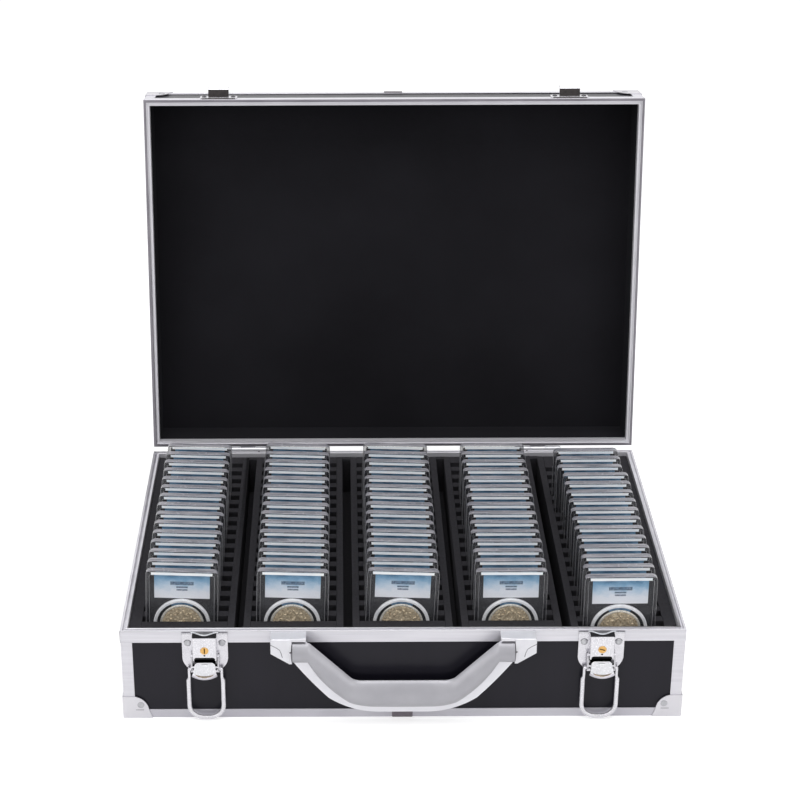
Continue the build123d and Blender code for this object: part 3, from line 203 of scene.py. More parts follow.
def grained_finish(
    name, light, dark, roughness, metallic=0.0, specular=0.5, patch=60.0, patch_stretch=(1.0, 1.0, 1.0),
    fine=900.0, relief=0.00002, stretch=(1.0, 1.0, 1.0),
):
    """A finish whose colour drifts in patches, with a fine grain in its roughness and relief."""
    material, shader, coordinates = drifting_colour(name, light, dark, patch, patch_stretch)
    nodes, links = material.node_tree.nodes, material.node_tree.links
    preset(shader, {"Metallic": metallic, "Specular IOR Level": specular})
    links.new(grain(material, coordinates, fine, *roughness, stretch), shader.inputs["Roughness"])
    bump = preset(nodes.new("ShaderNodeBump"), {"Strength": 1.0, "Distance": relief})
    links.new(grain(material, coordinates, fine, 0.0, 1.0, stretch), bump.inputs["Height"])
    links.new(bump.outputs["Normal"], shader.inputs["Normal"])
    return material


# The lid's pieces are shaped with the lid shut, and swung open about the hinge when they are done
LID_OPEN = radians(98.0)
HINGE = Matrix.Translation((0.0, 0.179, 0.08715))
LID_SHUT = HINGE @ Matrix.Rotation(LID_OPEN, 4, "X") @ HINGE.inverted()


def merged(node, body):
    """A bmesh of a node's solids, with its loose triangles joined into whole faces."""
    bm = bmesh.new()
    bm.from_mesh(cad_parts[node].data)
    bmesh.ops.remove_doubles(bm, verts=bm.verts, dist=0.000002)
    bmesh.ops.dissolve_limit(bm, angle_limit=radians(0.4), verts=bm.verts, edges=bm.edges)
    if body == "lid":
        bmesh.ops.transform(bm, matrix=LID_SHUT, verts=bm.verts)
    return bm


def sharp_edges(bm, sharper_than=35.0):
    """Edges whose two faces meet at more than an angle in degrees."""
    limit = radians(sharper_than)
    return [edge for edge in bm.edges if edge.is_manifold and edge.calc_face_angle(0.0) > limit]


def bevel_edges(bm, edges, width, segments=1, clamp_overlap=False):
    """Chamfer some edges, or round them with more segments."""
    return bmesh.ops.bevel(
        bm, geom=edges, offset=width, offset_type="OFFSET", segments=segments, profile=0.5,
        affect="EDGES", clamp_overlap=clamp_overlap, material=-1,
    )


def soften(bm, width):
    """Round the hard edges."""
    bevel_edges(bm, sharp_edges(bm), width, 2, clamp_overlap=True)


def finished(bm, name, body, slot_name, *finishes, replaced=(), weighted=True):
    """Turn a bmesh into a smooth-shaded piece that rides on a body and stands for the nodes it replaces."""
    if body == "lid":
        bmesh.ops.transform(bm, matrix=LID_SHUT.inverted(), verts=bm.verts)
    mesh = bpy.data.meshes.new(name)
    bm.to_mesh(mesh)
    bm.free()
    mesh.shade_smooth()
    mesh.set_sharp_from_angle(angle=radians(38.0))
    for material in finishes:
        mesh.materials.append(material)
    piece = bpy.data.objects.new(name, mesh)
    bpy.context.scene.collection.objects.link(piece)
    if weighted:
        even = piece.modifiers.new("even_shading", "WEIGHTED_NORMAL")
        even.keep_sharp = True
    if replaced:
        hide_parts(*replaced)
    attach(piece, body)
    return piece


def dressed(node, body, ending, slot_name, width, finish):
    """A node's solids, softened and given a finish."""
    bm = merged(node, body)
    soften(bm, width)
    return finished(bm, node + ending, body, slot_name, finish, replaced=[node])


black_film = grained_finish(
    "black_film", (0.0115, 0.0105, 0.0170), (0.0085, 0.0078, 0.0130), (0.28, 0.36),
    specular=0.20, patch=60.0, patch_stretch=(1.0, 1.0, 0.12), fine=1400.0, relief=0.00003,
)
for node, body in (
    ("base_wall_panels", "base"), ("base_floor_panel", "base"),
    ("lid_wall_panels", "lid"), ("lid_top_panel", "lid"),
):
    dressed(node, body, "_filmed", "board", 0.0003, black_film)

# ---------------------------------------------------------------- aluminium frame
# Rim, edging and corner posts, extruded in aluminium, satin anodised and mitred at the corners. The
# lid rim's lower face has a band of painted shade along its outer edge and a bright one inside it.
satin_aluminium = grained_finish(
    "satin_aluminium", (0.740, 0.730, 0.775), (0.620, 0.610, 0.655), (0.38, 0.50),
    metallic=0.40, patch=320.0, patch_stretch=(0.04, 0.25, 1.0), fine=2200.0, relief=0.00001,
)
# Painted light: a lighter, duller copy of the aluminium for the base rim's top faces, as lit from above
rim_top_painted_light = grained_finish(
    "rim_top_painted_light", (0.860, 0.850, 0.890), (0.740, 0.730, 0.770), (0.45, 0.60),
    metallic=0.10, patch=320.0, patch_stretch=(0.04, 1.0, 1.0), fine=2200.0, relief=0.00001,
)
# Painted shade: a darker copy of the aluminium in large blotches, standing in for the shadow and dark
# reflection on the bottom edging. The latch tabs' rolled lips take it too.
aluminium_painted_shade = grained_finish(
    "aluminium_painted_shade", (0.640, 0.630, 0.680), (0.370, 0.360, 0.405), (0.34, 0.46),
    metallic=0.50, patch=9.0, fine=2200.0, relief=0.00001,
)
# Painted shade: a dark copy of the aluminium for the band along the lid rim's outer edge
lid_face_painted_shade = grained_finish(
    "lid_face_painted_shade", (0.275, 0.260, 0.290), (0.195, 0.185, 0.210), (0.34, 0.46),
    metallic=0.5, patch=30.0, fine=2200.0, relief=0.00001,
)
lid_face_inner = grained_finish(
    "lid_face_inner", (0.700, 0.690, 0.730), (0.620, 0.610, 0.650), (0.34, 0.46),
    metallic=0.4, patch=30.0, fine=2200.0, relief=0.00001,
)
HALF_WIDTH = 0.2425
HALF_DEPTH = 0.176
RIM_OUTER_EDGE = 0.0004
SHADE_BAND = 0.0027
LID_RIM_FACE_Z = 0.0884
RIM_FRONT_INNER_Y = 0.166
SHADED_FACE, BRIGHT_FACE, LIT_RIM_TOP = 1, 2, 3
for node, body, finish in (
    ("base_rim", "base", satin_aluminium), ("base_bottom_edging", "base", aluminium_painted_shade),
    ("base_corner_posts", "base", satin_aluminium), ("lid_rim", "lid", satin_aluminium),
    ("lid_top_edging", "lid", satin_aluminium), ("lid_corner_posts", "lid", satin_aluminium),
):
    bm = merged(node, body)
    soften(bm, 0.00025)
    for face in bm.faces:
        middle = face.calc_center_median()
        inset = min(HALF_WIDTH - abs(middle.x), HALF_DEPTH - abs(middle.y))
        # On the lid rim's lower face: painted shade along the outer edge, and the plain bright band inside it
        if node == "lid_rim" and middle.z < LID_RIM_FACE_Z and inset > RIM_OUTER_EDGE:
            face.material_index = SHADED_FACE if inset < SHADE_BAND else BRIGHT_FACE
        # The base rim's top faces at front and back take the painted light
        if node == "base_rim" and face.normal.z > 0.9 and abs(middle.y) > RIM_FRONT_INNER_Y:
            face.material_index = LIT_RIM_TOP
    finished(
        bm, node + "_anodised", body, "frame_aluminium", finish, lid_face_painted_shade, lid_face_inner,
        rim_top_painted_light, replaced=[node],
    )

# ---------------------------------------------------------------- corner caps
# Pressed bright steel caps over the case's eight corners, with one rivet through each outer face.
# Those of the base have a crease over the edging's top, drawn as a line of painted shade.
bright_steel = grained_finish(
    "bright_steel", (0.655, 0.645, 0.680), (0.600, 0.590, 0.625), (0.30, 0.42),
    metallic=0.55, patch=30.0, fine=1500.0, relief=0.00001,
)
rivet_steel = grained_finish(
    "rivet_steel", (0.46, 0.46, 0.48), (0.32, 0.32, 0.34), (0.25, 0.4),
    metallic=0.9, patch=300.0, fine=2500.0,
)
# Dark grey for lines of painted shade in creases, folds and a groove, and for the brackets' seams
seam_grey_and_painted_shade = grained_finish(
    "seam_grey_and_painted_shade", (0.16, 0.15, 0.17), (0.10, 0.10, 0.11), (0.4, 0.5), metallic=0.4, patch=400.0,
)
for node, body in (("base_corner_caps", "base"), ("lid_corner_caps", "lid")):
    dressed(node, body, "_pressed", "cap_steel", 0.0004, bright_steel)


def faces_of(verts):
    """The faces round some vertices, each once."""
    return list(dict.fromkeys(face for vert in verts for face in vert.link_faces))


def ribbon(bm, points, width, out, thickness):
    """A narrow strip along a line of points, lying on a face whose outward direction is out."""
    points = [Vector(point) for point in points]
    out = Vector(out)
    last = len(points) - 1
    made = bmesh.ops.create_grid(bm, x_segments=last, y_segments=1, size=0.5)["verts"]
    for vert in made:
        index = round((vert.co.x + 0.5) * last)
        along = (points[min(index + 1, last)] - points[max(index - 1, 0)]).normalized()
        vert.co = points[index] + along.cross(out).normalized() * width * vert.co.y
    strip = faces_of(made)
    bmesh.ops.recalc_face_normals(bm, faces=strip)
    if strip[0].normal.dot(out) < 0:
        bmesh.ops.reverse_faces(bm, faces=strip)
    bmesh.ops.solidify(bm, geom=strip, thickness=thickness)


CREASE_OUT = 0.00106
CREASE_Z = 0.0085
CREASE_RUN = (0.0105, 0.0176)
CREASE_WIDTH = 0.0005
MARK_THICK = 0.0001
bm = bmesh.new()
for x_sign in (-1, 1):
    for y_sign in (-1, 1):
        front_y = y_sign * (HALF_DEPTH + CREASE_OUT)
        side_x = x_sign * (HALF_WIDTH + CREASE_OUT)
        front = [(x_sign * (HALF_WIDTH - run), front_y, CREASE_Z) for run in CREASE_RUN]
        side = [(side_x, y_sign * (HALF_DEPTH - run), CREASE_Z) for run in CREASE_RUN]
        ribbon(bm, front, CREASE_WIDTH, (0, y_sign, 0), MARK_THICK)
        ribbon(bm, side, CREASE_WIDTH, (x_sign, 0, 0), MARK_THICK)
finished(bm, "base_cap_crease_shade", "base", "cap_steel", seam_grey_and_painted_shade, weighted=False)


def spun(bm, points, axis, steps, centre=(0, 0, 0), closed=False):
    """Spin a line of points right round an axis."""
    verts = [bm.verts.new(point) for point in points]
    edges = [bm.edges.new(pair) for pair in zip(verts, verts[1:])]
    if closed:
        edges.append(bm.edges.new((verts[-1], verts[0])))
    bmesh.ops.spin(
        bm, geom=verts + edges, cent=centre, axis=axis, angle=2 * pi, steps=steps, use_merge=True,
    )


def domed_head(bm, place, out, radius, height):
    """One rivet head: a dome with a small flat step round it, standing on a face."""
    before = set(bm.verts)
    profile = [(radius, 0.0), (radius, 0.22 * height), (0.93 * radius, 0.42 * height)]
    for step in range(1, 6):
        angle = step * pi / 10
        profile.append((0.93 * radius * cos(angle), height * (0.42 + 0.58 * sin(angle))))
    spun(bm, [(across, 0.0, up) for across, up in profile], (0, 0, 1), 24)
    bmesh.ops.remove_doubles(bm, verts=[vert for vert in bm.verts if vert not in before], dist=0.00001)
    new = [vert for vert in bm.verts if vert not in before]
    turn = Vector((0, 0, 1)).rotation_difference(Vector(out)).to_matrix().to_4x4()
    bmesh.ops.transform(bm, matrix=Matrix.Translation(place) @ turn, verts=new)
    bmesh.ops.recalc_face_normals(bm, faces=faces_of(new))


def solid_boxes(node, body):
    """Lowest and highest corner of each separate solid of a node, with the lid shut."""
    bm = merged(node, body)
    boxes, seen = [], set()
    for start in bm.verts:
        if start in seen:
            continue
        island, queue = [], [start]
        seen.add(start)
        while queue:
            vert = queue.pop()
            island.append(vert.co.copy())
            for edge in vert.link_edges:
                other = edge.other_vert(vert)
                if other not in seen:
                    seen.add(other)
                    queue.append(other)
        boxes.append((
            Vector(min(point[axis] for point in island) for axis in range(3)),
            Vector(max(point[axis] for point in island) for axis in range(3)),
        ))
    bm.free()
    return boxes


CASE_MIDDLE = Vector((0.0, 0.0, 0.068))


def domed_rivets(node, body, height, steel=rivet_steel):
    """Domed heads in the places of a node's plain ones."""
    bm = bmesh.new()
    for low, high in solid_boxes(node, body):
        size, centre = high - low, (low + high) / 2
        thin = min(range(3), key=lambda axis: size[axis])
        out = Vector((0, 0, 0))
        out[thin] = 1.0 if centre[thin] > CASE_MIDDLE[thin] else -1.0
        domed_head(bm, centre - out * size[thin] / 2, out, max(size) / 2, height)
    finished(bm, node + "_domed", body, "rivet_steel", steel, replaced=[node], weighted=False)


CAP_RIVET_HEIGHT = 0.0008
domed_rivets("base_cap_rivets", "base", CAP_RIVET_HEIGHT)
domed_rivets("lid_cap_rivets", "lid", CAP_RIVET_HEIGHT)

# ---------------------------------------------------------------- edge clips
# Small dull clips of spring steel, one on the base and one on the lid. Each grips the front edging
# over the joint in its middle.
clip_steel = grained_finish(
    "clip_steel", (0.190, 0.168, 0.190), (0.140, 0.125, 0.140), (0.35, 0.5),
    metallic=0.5, patch=300.0, fine=2500.0,
)
for node, body in (("base_edge_clip", "base"), ("lid_edge_clip", "lid")):
    dressed(node, body, "_sprung", "clip_steel", 0.0002, clip_steel)

# ---------------------------------------------------------------- foam tray
# Black closed-cell foam: a pad on the floor, and above it rails and dividers, cut to strips and
# glued up so that they leave the slots.
foam_black = grained_finish(
    "foam_black", (0.040, 0.039, 0.044), (0.029, 0.028, 0.032), (0.9, 1.0),
    specular=0.08, patch=500.0, fine=1600.0, relief=0.00012,
)
for node in ("foam_floor_pad", "foam_side_rails", "foam_slot_dividers"):
    foam = dressed(node, "base", "_cut", "foam", 0.0005, foam_black)

# ---------------------------------------------------------------- lid lining
# Thin black cloth with a fine plain weave, glued over the inside of the lid's top board and turned
# down over its four walls.
lining_cloth = grained_finish(
    "lining_cloth", (0.0150, 0.0146, 0.0180), (0.0085, 0.0082, 0.0102), (0.85, 1.0),
    specular=0.1, patch=7.0, fine=2600.0, relief=0.00008,
    stretch=(1.0, 0.35, 0.35),
)
lining = dressed("lid_lining", "lid", "_glued", "lining_cloth", 0.0008, lining_cloth)

# ---------------------------------------------------------------- hinges
# Two leaf hinges on the case's back, zinc plated, with headed pins and three rivets in each leaf. A
# dark screw holds the rear rim near each of them.
zinc = grained_finish(
    "zinc", (0.60, 0.60, 0.62), (0.50, 0.50, 0.53), (0.28, 0.42), metallic=0.8, patch=200.0, fine=1800.0,
)
dark_steel = grained_finish(
    "dark_steel", (0.060, 0.055, 0.062), (0.035, 0.032, 0.038), (0.3, 0.45),
    metallic=0.7, patch=300.0, fine=2500.0,
)
for node, body in (("hinge_base_leaves", "base"), ("hinge_lid_leaves", "lid"), ("hinge_pins", "base")):
    dressed(node, body, "_plated", "hinge_steel", 0.00015, zinc)
HINGE_RIVET_HEIGHT = 0.0009
domed_rivets("hinge_base_rivets", "base", HINGE_RIVET_HEIGHT)
domed_rivets("hinge_lid_rivets", "lid", HINGE_RIVET_HEIGHT)
SCREW_X = 0.1357
SCREW_Y = 0.1746
RIM_TOP_Z = 0.087
bm = bmesh.new()
for x_sign in (-1, 1):
    domed_head(bm, (x_sign * SCREW_X, SCREW_Y, RIM_TOP_Z), (0, 0, 1), 0.0010, 0.00008)
finished(bm, "rim_screws", "base", "rivet_steel", dark_steel, weighted=False)

# ---------------------------------------------------------------- latches
# Pressed and nickel plated. A plate is riveted to the front, and a housing on it holds the lock. A
# lever with a thumb tab turns on a pin below, and carries the wire bail that reaches the lid's catch.
nickel = grained_finish(
    "nickel", (0.640, 0.630, 0.665), (0.560, 0.550, 0.585), (0.20, 0.32),
    metallic=0.8, patch=160.0, fine=1600.0, relief=0.00001,
)
# Painted light: a lighter copy of the nickel for the housings, the bail wires and the catches
nickel_painted_light = grained_finish(
    "nickel_painted_light", (0.725, 0.715, 0.752), (0.660, 0.650, 0.687), (0.20, 0.30),
    metallic=0.6, patch=160.0, fine=1600.0, relief=0.00001,
)
# Painted highlight: the lightest copy of the nickel, for the thumb tabs, which face the light from above, and
# for the leaf springs
nickel_painted_highlight = grained_finish(
    "nickel_painted_highlight", (0.78, 0.78, 0.81), (0.70, 0.70, 0.74), (0.20, 0.30),
    metallic=0.4, patch=160.0, fine=1600.0, relief=0.00001,
)
lock_shadow = grained_finish(
    "lock_shadow", (0.018, 0.017, 0.019), (0.010, 0.010, 0.012), (0.5, 0.7), specular=0.1, patch=500.0,
)
# Painted shade: dark grey for a patch in each housing's mouth, the plate behind the arch and the dent under
# each tab
throat_painted_shade = grained_finish(
    "throat_painted_shade", (0.150, 0.148, 0.155), (0.090, 0.088, 0.095), (0.35, 0.5), metallic=0.4, patch=500.0,
)
# Painted shade: brown-dark for the groove above each thumb tab's rolled lip
lip_groove_painted_shade = grained_finish(
    "lip_groove_painted_shade", (0.360, 0.285, 0.200), (0.070, 0.055, 0.045), (0.35, 0.5), metallic=0.4, patch=500.0,
)
LATCH_X = 0.170
LOCK_Z = 0.073
HOUSING_FACE_Y = -0.1852
FOLD_Y = -0.17724
RIVET_ARC_Y = -0.17726
ARCH_HALF = 0.00915
ARCH_TOP_Z = 0.0664
POCKET_HALF = 0.0094
POCKET_LOW_Z = 0.0822
POCKET_FRONT_Y = -0.1844
POCKET_BACK_Y = -0.1779
BORE_HALF = 0.0037
BORE_MIDDLE_Z = 0.072
BORE_HEIGHT = 0.010
BORE_BACK_Y = -0.178
dressed("latch_plates", "base", "_plated", "latch_steel", 0.0002, nickel)

bm = merged("lock_housings", "base")
soften(bm, 0.0003)
for face in bm.faces:
    middle = face.calc_center_median()
    across = abs(abs(middle.x) - LATCH_X)
    in_arch = across < ARCH_HALF and middle.z < ARCH_TOP_Z and HOUSING_FACE_Y + 0.0003 < middle.y
    over_pocket = across < POCKET_HALF and middle.z > POCKET_LOW_Z
    in_pocket = over_pocket and POCKET_FRONT_Y < middle.y < POCKET_BACK_Y
    round_bore = across < BORE_HALF and abs(middle.z - BORE_MIDDLE_Z) < BORE_HEIGHT / 2
    in_bore = round_bore and HOUSING_FACE_Y + 0.0002 < middle.y < BORE_BACK_Y
    if in_arch or in_pocket or in_bore:
        face.material_index = 1
finished(
    bm, "lock_housings_plated", "base", "latch_steel", nickel_painted_light, lock_shadow,
    replaced=["lock_housings"],
)

# Over each housing's mouth: a sheet of painted shadow for the opening, a leaf spring that sags
# across it, and a grey patch of painted shade behind
THROAT_LOW = Vector((0.0, -0.1847, 0.08548))
THROAT_HIGH = Vector((0.0, -0.1779, 0.08680))
SPRING_HALF = 0.0118


def throat_patch(bm, centre_x, segments, half_width, low, high, lift, finish):
    """A strip across the mouth, between two heights that may change across it."""
    made = bmesh.ops.create_grid(bm, x_segments=segments, y_segments=2, size=0.5)["verts"]
    for vert in made:
        across, share = 2 * vert.co.x, vert.co.y + 0.5
        up = low(across) + share * (high(across) - low(across))
        place = THROAT_LOW.lerp(THROAT_HIGH, up) + Vector((0, 0, lift))
        half = half_width[0] + share * (half_width[1] - half_width[0])
        vert.co = (centre_x + across * half, place.y, place.z)
    faces = faces_of(made)
    for face in faces:
        face.material_index = finish
    bmesh.ops.solidify(bm, geom=faces, thickness=0.0002)


def sag(across):
    """How far up the mouth the spring's lower edge is."""
    return 0.86 - 0.54 * cos(min(abs(across) / 0.85, 1.0) * pi / 2) ** 1.5


SHADE_PATCH, SPRING, OPENING = range(3)
HOLLOW_WIDTH = 0.0180
HOLLOW_HEIGHT = 0.0118
HOLLOW_MIDDLE = (-0.17745, 0.0602)
bm = bmesh.new()
for centre_x in (-LATCH_X, LATCH_X):
    throat_patch(bm, centre_x, 4, (0.0104, 0.0104), lambda a: 0.0, lambda a: 0.98, 0.0, OPENING)
    throat_patch(bm, centre_x, 6, (0.0046, 0.0074), lambda a: 0.62, lambda a: 1.08, 0.0002, SHADE_PATCH)
    spring = (SPRING_HALF, SPRING_HALF)
    throat_patch(bm, centre_x, 40, spring, sag, lambda a: sag(a) + 0.22, 0.0004, SPRING)
    # The plate seen through the arch, where little light reaches, covered by a sheet of painted shade
    hollow = bmesh.ops.create_grid(bm, x_segments=1, y_segments=1, size=0.5)["verts"]
    for vert in hollow:
        out, up = HOLLOW_MIDDLE
        vert.co = (centre_x + vert.co.x * HOLLOW_WIDTH, out, up + vert.co.y * HOLLOW_HEIGHT)
    bmesh.ops.solidify(bm, geom=faces_of(hollow), thickness=0.0002)
finished(
    bm, "lock_housing_springs", "base", "latch_steel", throat_painted_shade, nickel_painted_highlight, lock_shadow, weighted=False,
)

# Lines of painted shade for folds in the plates' top corners, and a shadow line over each rivet
FOLD_ENDS = (0.0114, 0.0200)
FOLD_HEIGHTS = (0.08475, 0.08655)
bm = bmesh.new()
for centre_x in (-LATCH_X, LATCH_X):
    for side in (-1, 1):
        for z in FOLD_HEIGHTS:
            fold = [(centre_x + side * end, FOLD_Y, z) for end in FOLD_ENDS]
            ribbon(bm, fold, 0.0004, (0, -1, 0), MARK_THICK)
for low, high in solid_boxes("latch_rivets", "base"):
    radius, centre = (high.x - low.x) / 2 + 0.0002, (low + high) / 2
    turns = [radians(angle) for angle in range(15, 170, 15)]
    arc = [(centre.x + radius * cos(turn), RIVET_ARC_Y, centre.z + radius * sin(turn)) for turn in turns]
    ribbon(bm, arc, 0.0007, (0, -1, 0), MARK_THICK)
finished(bm, "latch_plate_fold_shade", "base", "latch_steel", seam_grey_and_painted_shade, weighted=False)

PLATE_RIVET_HEIGHT = 0.0010
domed_rivets("latch_rivets", "base", PLATE_RIVET_HEIGHT)
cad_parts["latch_lever_pins"].material_slots[0].material = nickel

TAB_TOP = Vector((0.0, -0.18495, 0.06099))
TAB_TILT = radians(43.0)
TAB_DOWN = Vector((0, -sin(TAB_TILT), -cos(TAB_TILT)))
TAB_OUT = Vector((0, -cos(TAB_TILT), sin(TAB_TILT)))
TAB_LENGTH = 0.0112
TAB_DROP = 0.0031
TAB_THICK = 0.0011
TAB_HALF = 0.0087
TAB_FLARE = 0.0020
TAB_CORNER = 0.0022
TAB_DISH = 0.00035
TAB_SEAT = 0.00165
LIP_START = 0.86
LIP_RISE = 0.0006
LIP_HALF = 0.0105
LIP_LINE_HALF = 0.72
VALLEY_DEPTH = 0.0003
DENT_DEPTH = 0.0003
WEB_HALF = 0.0088
# Slots on the lever: painted shade in the groove and in the dent, the cheeks, the web in painted shadow, and
# the rolled lip in darker aluminium of painted shade
GROOVE_SHADE, DENT, CHEEK, WEB, LIP = 1, 2, 3, 4, 5


def hump(value, middle, half):
    """1 at the middle, and down to 0 at half a width to either side."""
    return max(0.0, 1.0 - ((value - middle) / half) ** 2)


def thumb_tab(bm, centre_x):
    """Sheet tab that flares, dishes a little and rolls out at its lip, with a line of painted shade above the
    roll.
    """
    before = set(bm.verts)
    made = bmesh.ops.create_grid(bm, x_segments=32, y_segments=30, size=0.5)["verts"]
    for vert in made:
        side, run = 2 * vert.co.x, 0.5 - vert.co.y
        bow = 1 - side ** 2
        distance = run * (TAB_LENGTH + TAB_DROP * bow)
        half = TAB_HALF + TAB_FLARE * min(distance / TAB_LENGTH, 1.0) ** 2.2
        half -= TAB_CORNER * max(0.0, 1.0 - distance / TAB_CORNER) ** 2
        lip = max(0.0, (run - LIP_START) / (1 - LIP_START))
        lift = LIP_RISE * lip ** 2 - TAB_DISH * bow * run - VALLEY_DEPTH * hump(run, 0.85, 0.07)
        lift -= DENT_DEPTH * hump(side, 0.0, 0.30) * hump(distance, 0.0016, 0.0006)
        vert.co = Vector((centre_x + side * half, 0, 0)) + TAB_TOP + TAB_DOWN * distance + TAB_OUT * lift
    faces = faces_of(made)
    # The line of painted shade bows along the roll, and a short dent under the tab's root is painted dark as
    # shade
    for face in faces:
        middle = face.calc_center_median() - TAB_TOP
        distance = middle.dot(TAB_DOWN)
        side = (middle.x - centre_x) / LIP_HALF
        bow = 1 - side ** 2
        run = distance / (TAB_LENGTH + TAB_DROP * bow)
        line_end = LIP_START + 0.06 * (1 - (side / LIP_LINE_HALF) ** 2)
        if abs(side) < LIP_LINE_HALF and 0.825 - 0.03 * bow < run < line_end:
            face.material_index = GROOVE_SHADE
        elif run > LIP_START:
            face.material_index = LIP
        elif abs(side) < 0.26 and 0.0013 < distance < 0.0019:
            face.material_index = DENT
    bmesh.ops.recalc_face_normals(bm, faces=faces)
    if faces[0].normal.dot(TAB_OUT) < 0:
        bmesh.ops.reverse_faces(bm, faces=faces)
    bmesh.ops.solidify(bm, geom=faces, thickness=TAB_THICK)
    bmesh.ops.recalc_face_normals(bm, faces=faces_of([vert for vert in bm.verts if vert not in before]))


for side, centre_x in (("left", -LATCH_X), ("right", LATCH_X)):
    # Cheeks and web from the solid, cut off just behind its flat tab
    bm = merged(f"{side}_latch_lever", f"{side}_latch")
    bmesh.ops.bisect_plane(
        bm, geom=bm.verts[:] + bm.edges[:] + bm.faces[:],
        plane_co=TAB_TOP - TAB_OUT * TAB_SEAT, plane_no=TAB_OUT, clear_outer=True,
    )
    bmesh.ops.holes_fill(bm, edges=[edge for edge in bm.edges if edge.is_boundary])
    for face in bm.faces:
        face.material_index = WEB if abs(face.calc_center_median().x - centre_x) < WEB_HALF else CHEEK
    thumb_tab(bm, centre_x)
    finished(
        bm, f"{side}_latch_lever_plated", f"{side}_latch", "latch_steel", nickel_painted_highlight, lip_groove_painted_shade, throat_painted_shade,
        nickel, lock_shadow, aluminium_painted_shade, replaced=[f"{side}_latch_lever"], weighted=False,
    )
    bm = merged(f"{side}_latch_bail", f"{side}_bail")
    finished(
        bm, f"{side}_latch_bail_wire", f"{side}_bail", "latch_steel", nickel_painted_light,
        replaced=[f"{side}_latch_bail"], weighted=False,
    )

# ---------------------------------------------------------------- lock cylinders
# Turned brass plugs, one in each housing, faced with fine rings and cut with a keyway. The key turns
# them in their bores.
brass = grained_finish(
    "brass", (0.72, 0.44, 0.16), (0.52, 0.29, 0.09), (0.22, 0.36), metallic=0.9, patch=900.0, fine=4000.0,
)
# Painted shade: dark brown inside each keyway
keyway_painted_shade = grained_finish(
    "keyway_painted_shade", (0.060, 0.030, 0.010), (0.030, 0.014, 0.005), (0.5, 0.7), specular=0.2, patch=900.0,
)
KEYWAY_REACH = 0.0032
for side in ("left", "right"):
    bm = merged(f"{side}_lock_cylinder", f"{side}_lock")
    soften(bm, 0.00012)
    for face in bm.faces:
        middle = face.calc_center_median()
        reach = sqrt((abs(middle.x) - LATCH_X) ** 2 + (middle.z - LOCK_Z) ** 2)
        if middle.y > HOUSING_FACE_Y and reach < KEYWAY_REACH:
            face.material_index = 1
    finished(
        bm, f"{side}_lock_cylinder_turned", f"{side}_lock", "lock_brass", brass, keyway_painted_shade,
        replaced=[f"{side}_lock_cylinder"],
    )

# ---------------------------------------------------------------- lid catches
# Pressed hooks on the lid's front, nickel plated, their undersides painted dark as shade and a dark
# reflection, and held by two rivets each.
# The bails' bars bear on them.
catch_underside_painted_shade = grained_finish(
    "catch_underside_painted_shade", (0.045, 0.038, 0.038), (0.020, 0.017, 0.018), (0.3, 0.45),
    metallic=0.5, patch=350.0, fine=1800.0,
)
HOOK_LIP_Y = -0.1866
HOOK_CORNER = 0.0011
HOOK_LIP_DEPTH = 0.0014
bm = merged("lid_catches", "lid")
for vert in bm.verts:
    if vert.co.y < HOOK_LIP_Y:
        past_middle = (abs(vert.co.x) > LATCH_X) == (vert.co.x > 0)
        vert.co.x -= HOOK_CORNER if past_middle else -HOOK_CORNER
bmesh.ops.bisect_plane(
    bm, geom=bm.verts[:] + bm.edges[:] + bm.faces[:],
    plane_co=(0, HOOK_LIP_Y + HOOK_LIP_DEPTH, 0), plane_no=(0, 1, 0),
)
soften(bm, 0.0003)
for face in bm.faces:
    if face.normal.z < -0.9 and face.calc_center_median().y > HOOK_LIP_Y + HOOK_LIP_DEPTH:
        face.material_index = 1
finished(
    bm, "lid_catches_pressed", "lid", "latch_steel", nickel_painted_light, catch_underside_painted_shade, replaced=["lid_catches"],
)
domed_rivets("lid_catch_rivets", "lid", PLATE_RIVET_HEIGHT, dark_steel)

# ---------------------------------------------------------------- handle
# Grip moulded in two shells and sprayed silver, a rounded one in front and a lipped one behind. It
# turns on a pin in each of two moulded brackets, whose faces show a seam.
bracket_silver = grained_finish(
    "bracket_silver", (0.770, 0.765, 0.805), (0.690, 0.685, 0.725), (0.30, 0.42),
    metallic=0.4, patch=120.0, fine=1200.0, relief=0.00001,
)
grip_silver = grained_finish(
    "grip_silver", (0.430, 0.425, 0.458), (0.375, 0.370, 0.403), (0.30, 0.40),
    metallic=0.25, patch=50.0, fine=1400.0, relief=0.00001,
)
# Painted highlight: the lipped shell's silver is much lighter than the grip's, as its lip faces the light
lip_silver_painted_highlight = grained_finish(
    "lip_silver_painted_highlight", (0.820, 0.815, 0.860), (0.760, 0.755, 0.800), (0.30, 0.42),
    metallic=0.35, patch=50.0, fine=1400.0, relief=0.00001,
)
dressed("handle_grip_plate", "handle", "_moulded", "grip_plastic", 0.0008, lip_silver_painted_highlight)

ARM_END_X = 0.0947
ARM_TOP_Z = 0.0823
ARM_LOW_Z = 0.0639
SHELL_BACK_Y = -0.1874
SHELL_DEPTH = 0.0076


def arc_through(first, middle, last, steps):
    """Points on the circle through three points, from the first up to but not the last."""
    ax, az, bx, bz, cx, cz = *first, *middle, *last
    d = 2 * (ax * (bz - cz) + bx * (cz - az) + cx * (az - bz))
    ux = ((ax**2 + az**2) * (bz - cz) + (bx**2 + bz**2) * (cz - az) + (cx**2 + cz**2) * (az - bz)) / d
    uz = ((ax**2 + az**2) * (cx - bx) + (bx**2 + bz**2) * (ax - cx) + (cx**2 + cz**2) * (bx - ax)) / d
    centre = Vector((ux, uz))
    start, end = Vector(first) - centre, Vector(last) - centre
    sweep = start.angle_signed(end)
    return [centre + Matrix.Rotation(-sweep * step / steps, 2) @ start for step in range(steps)]


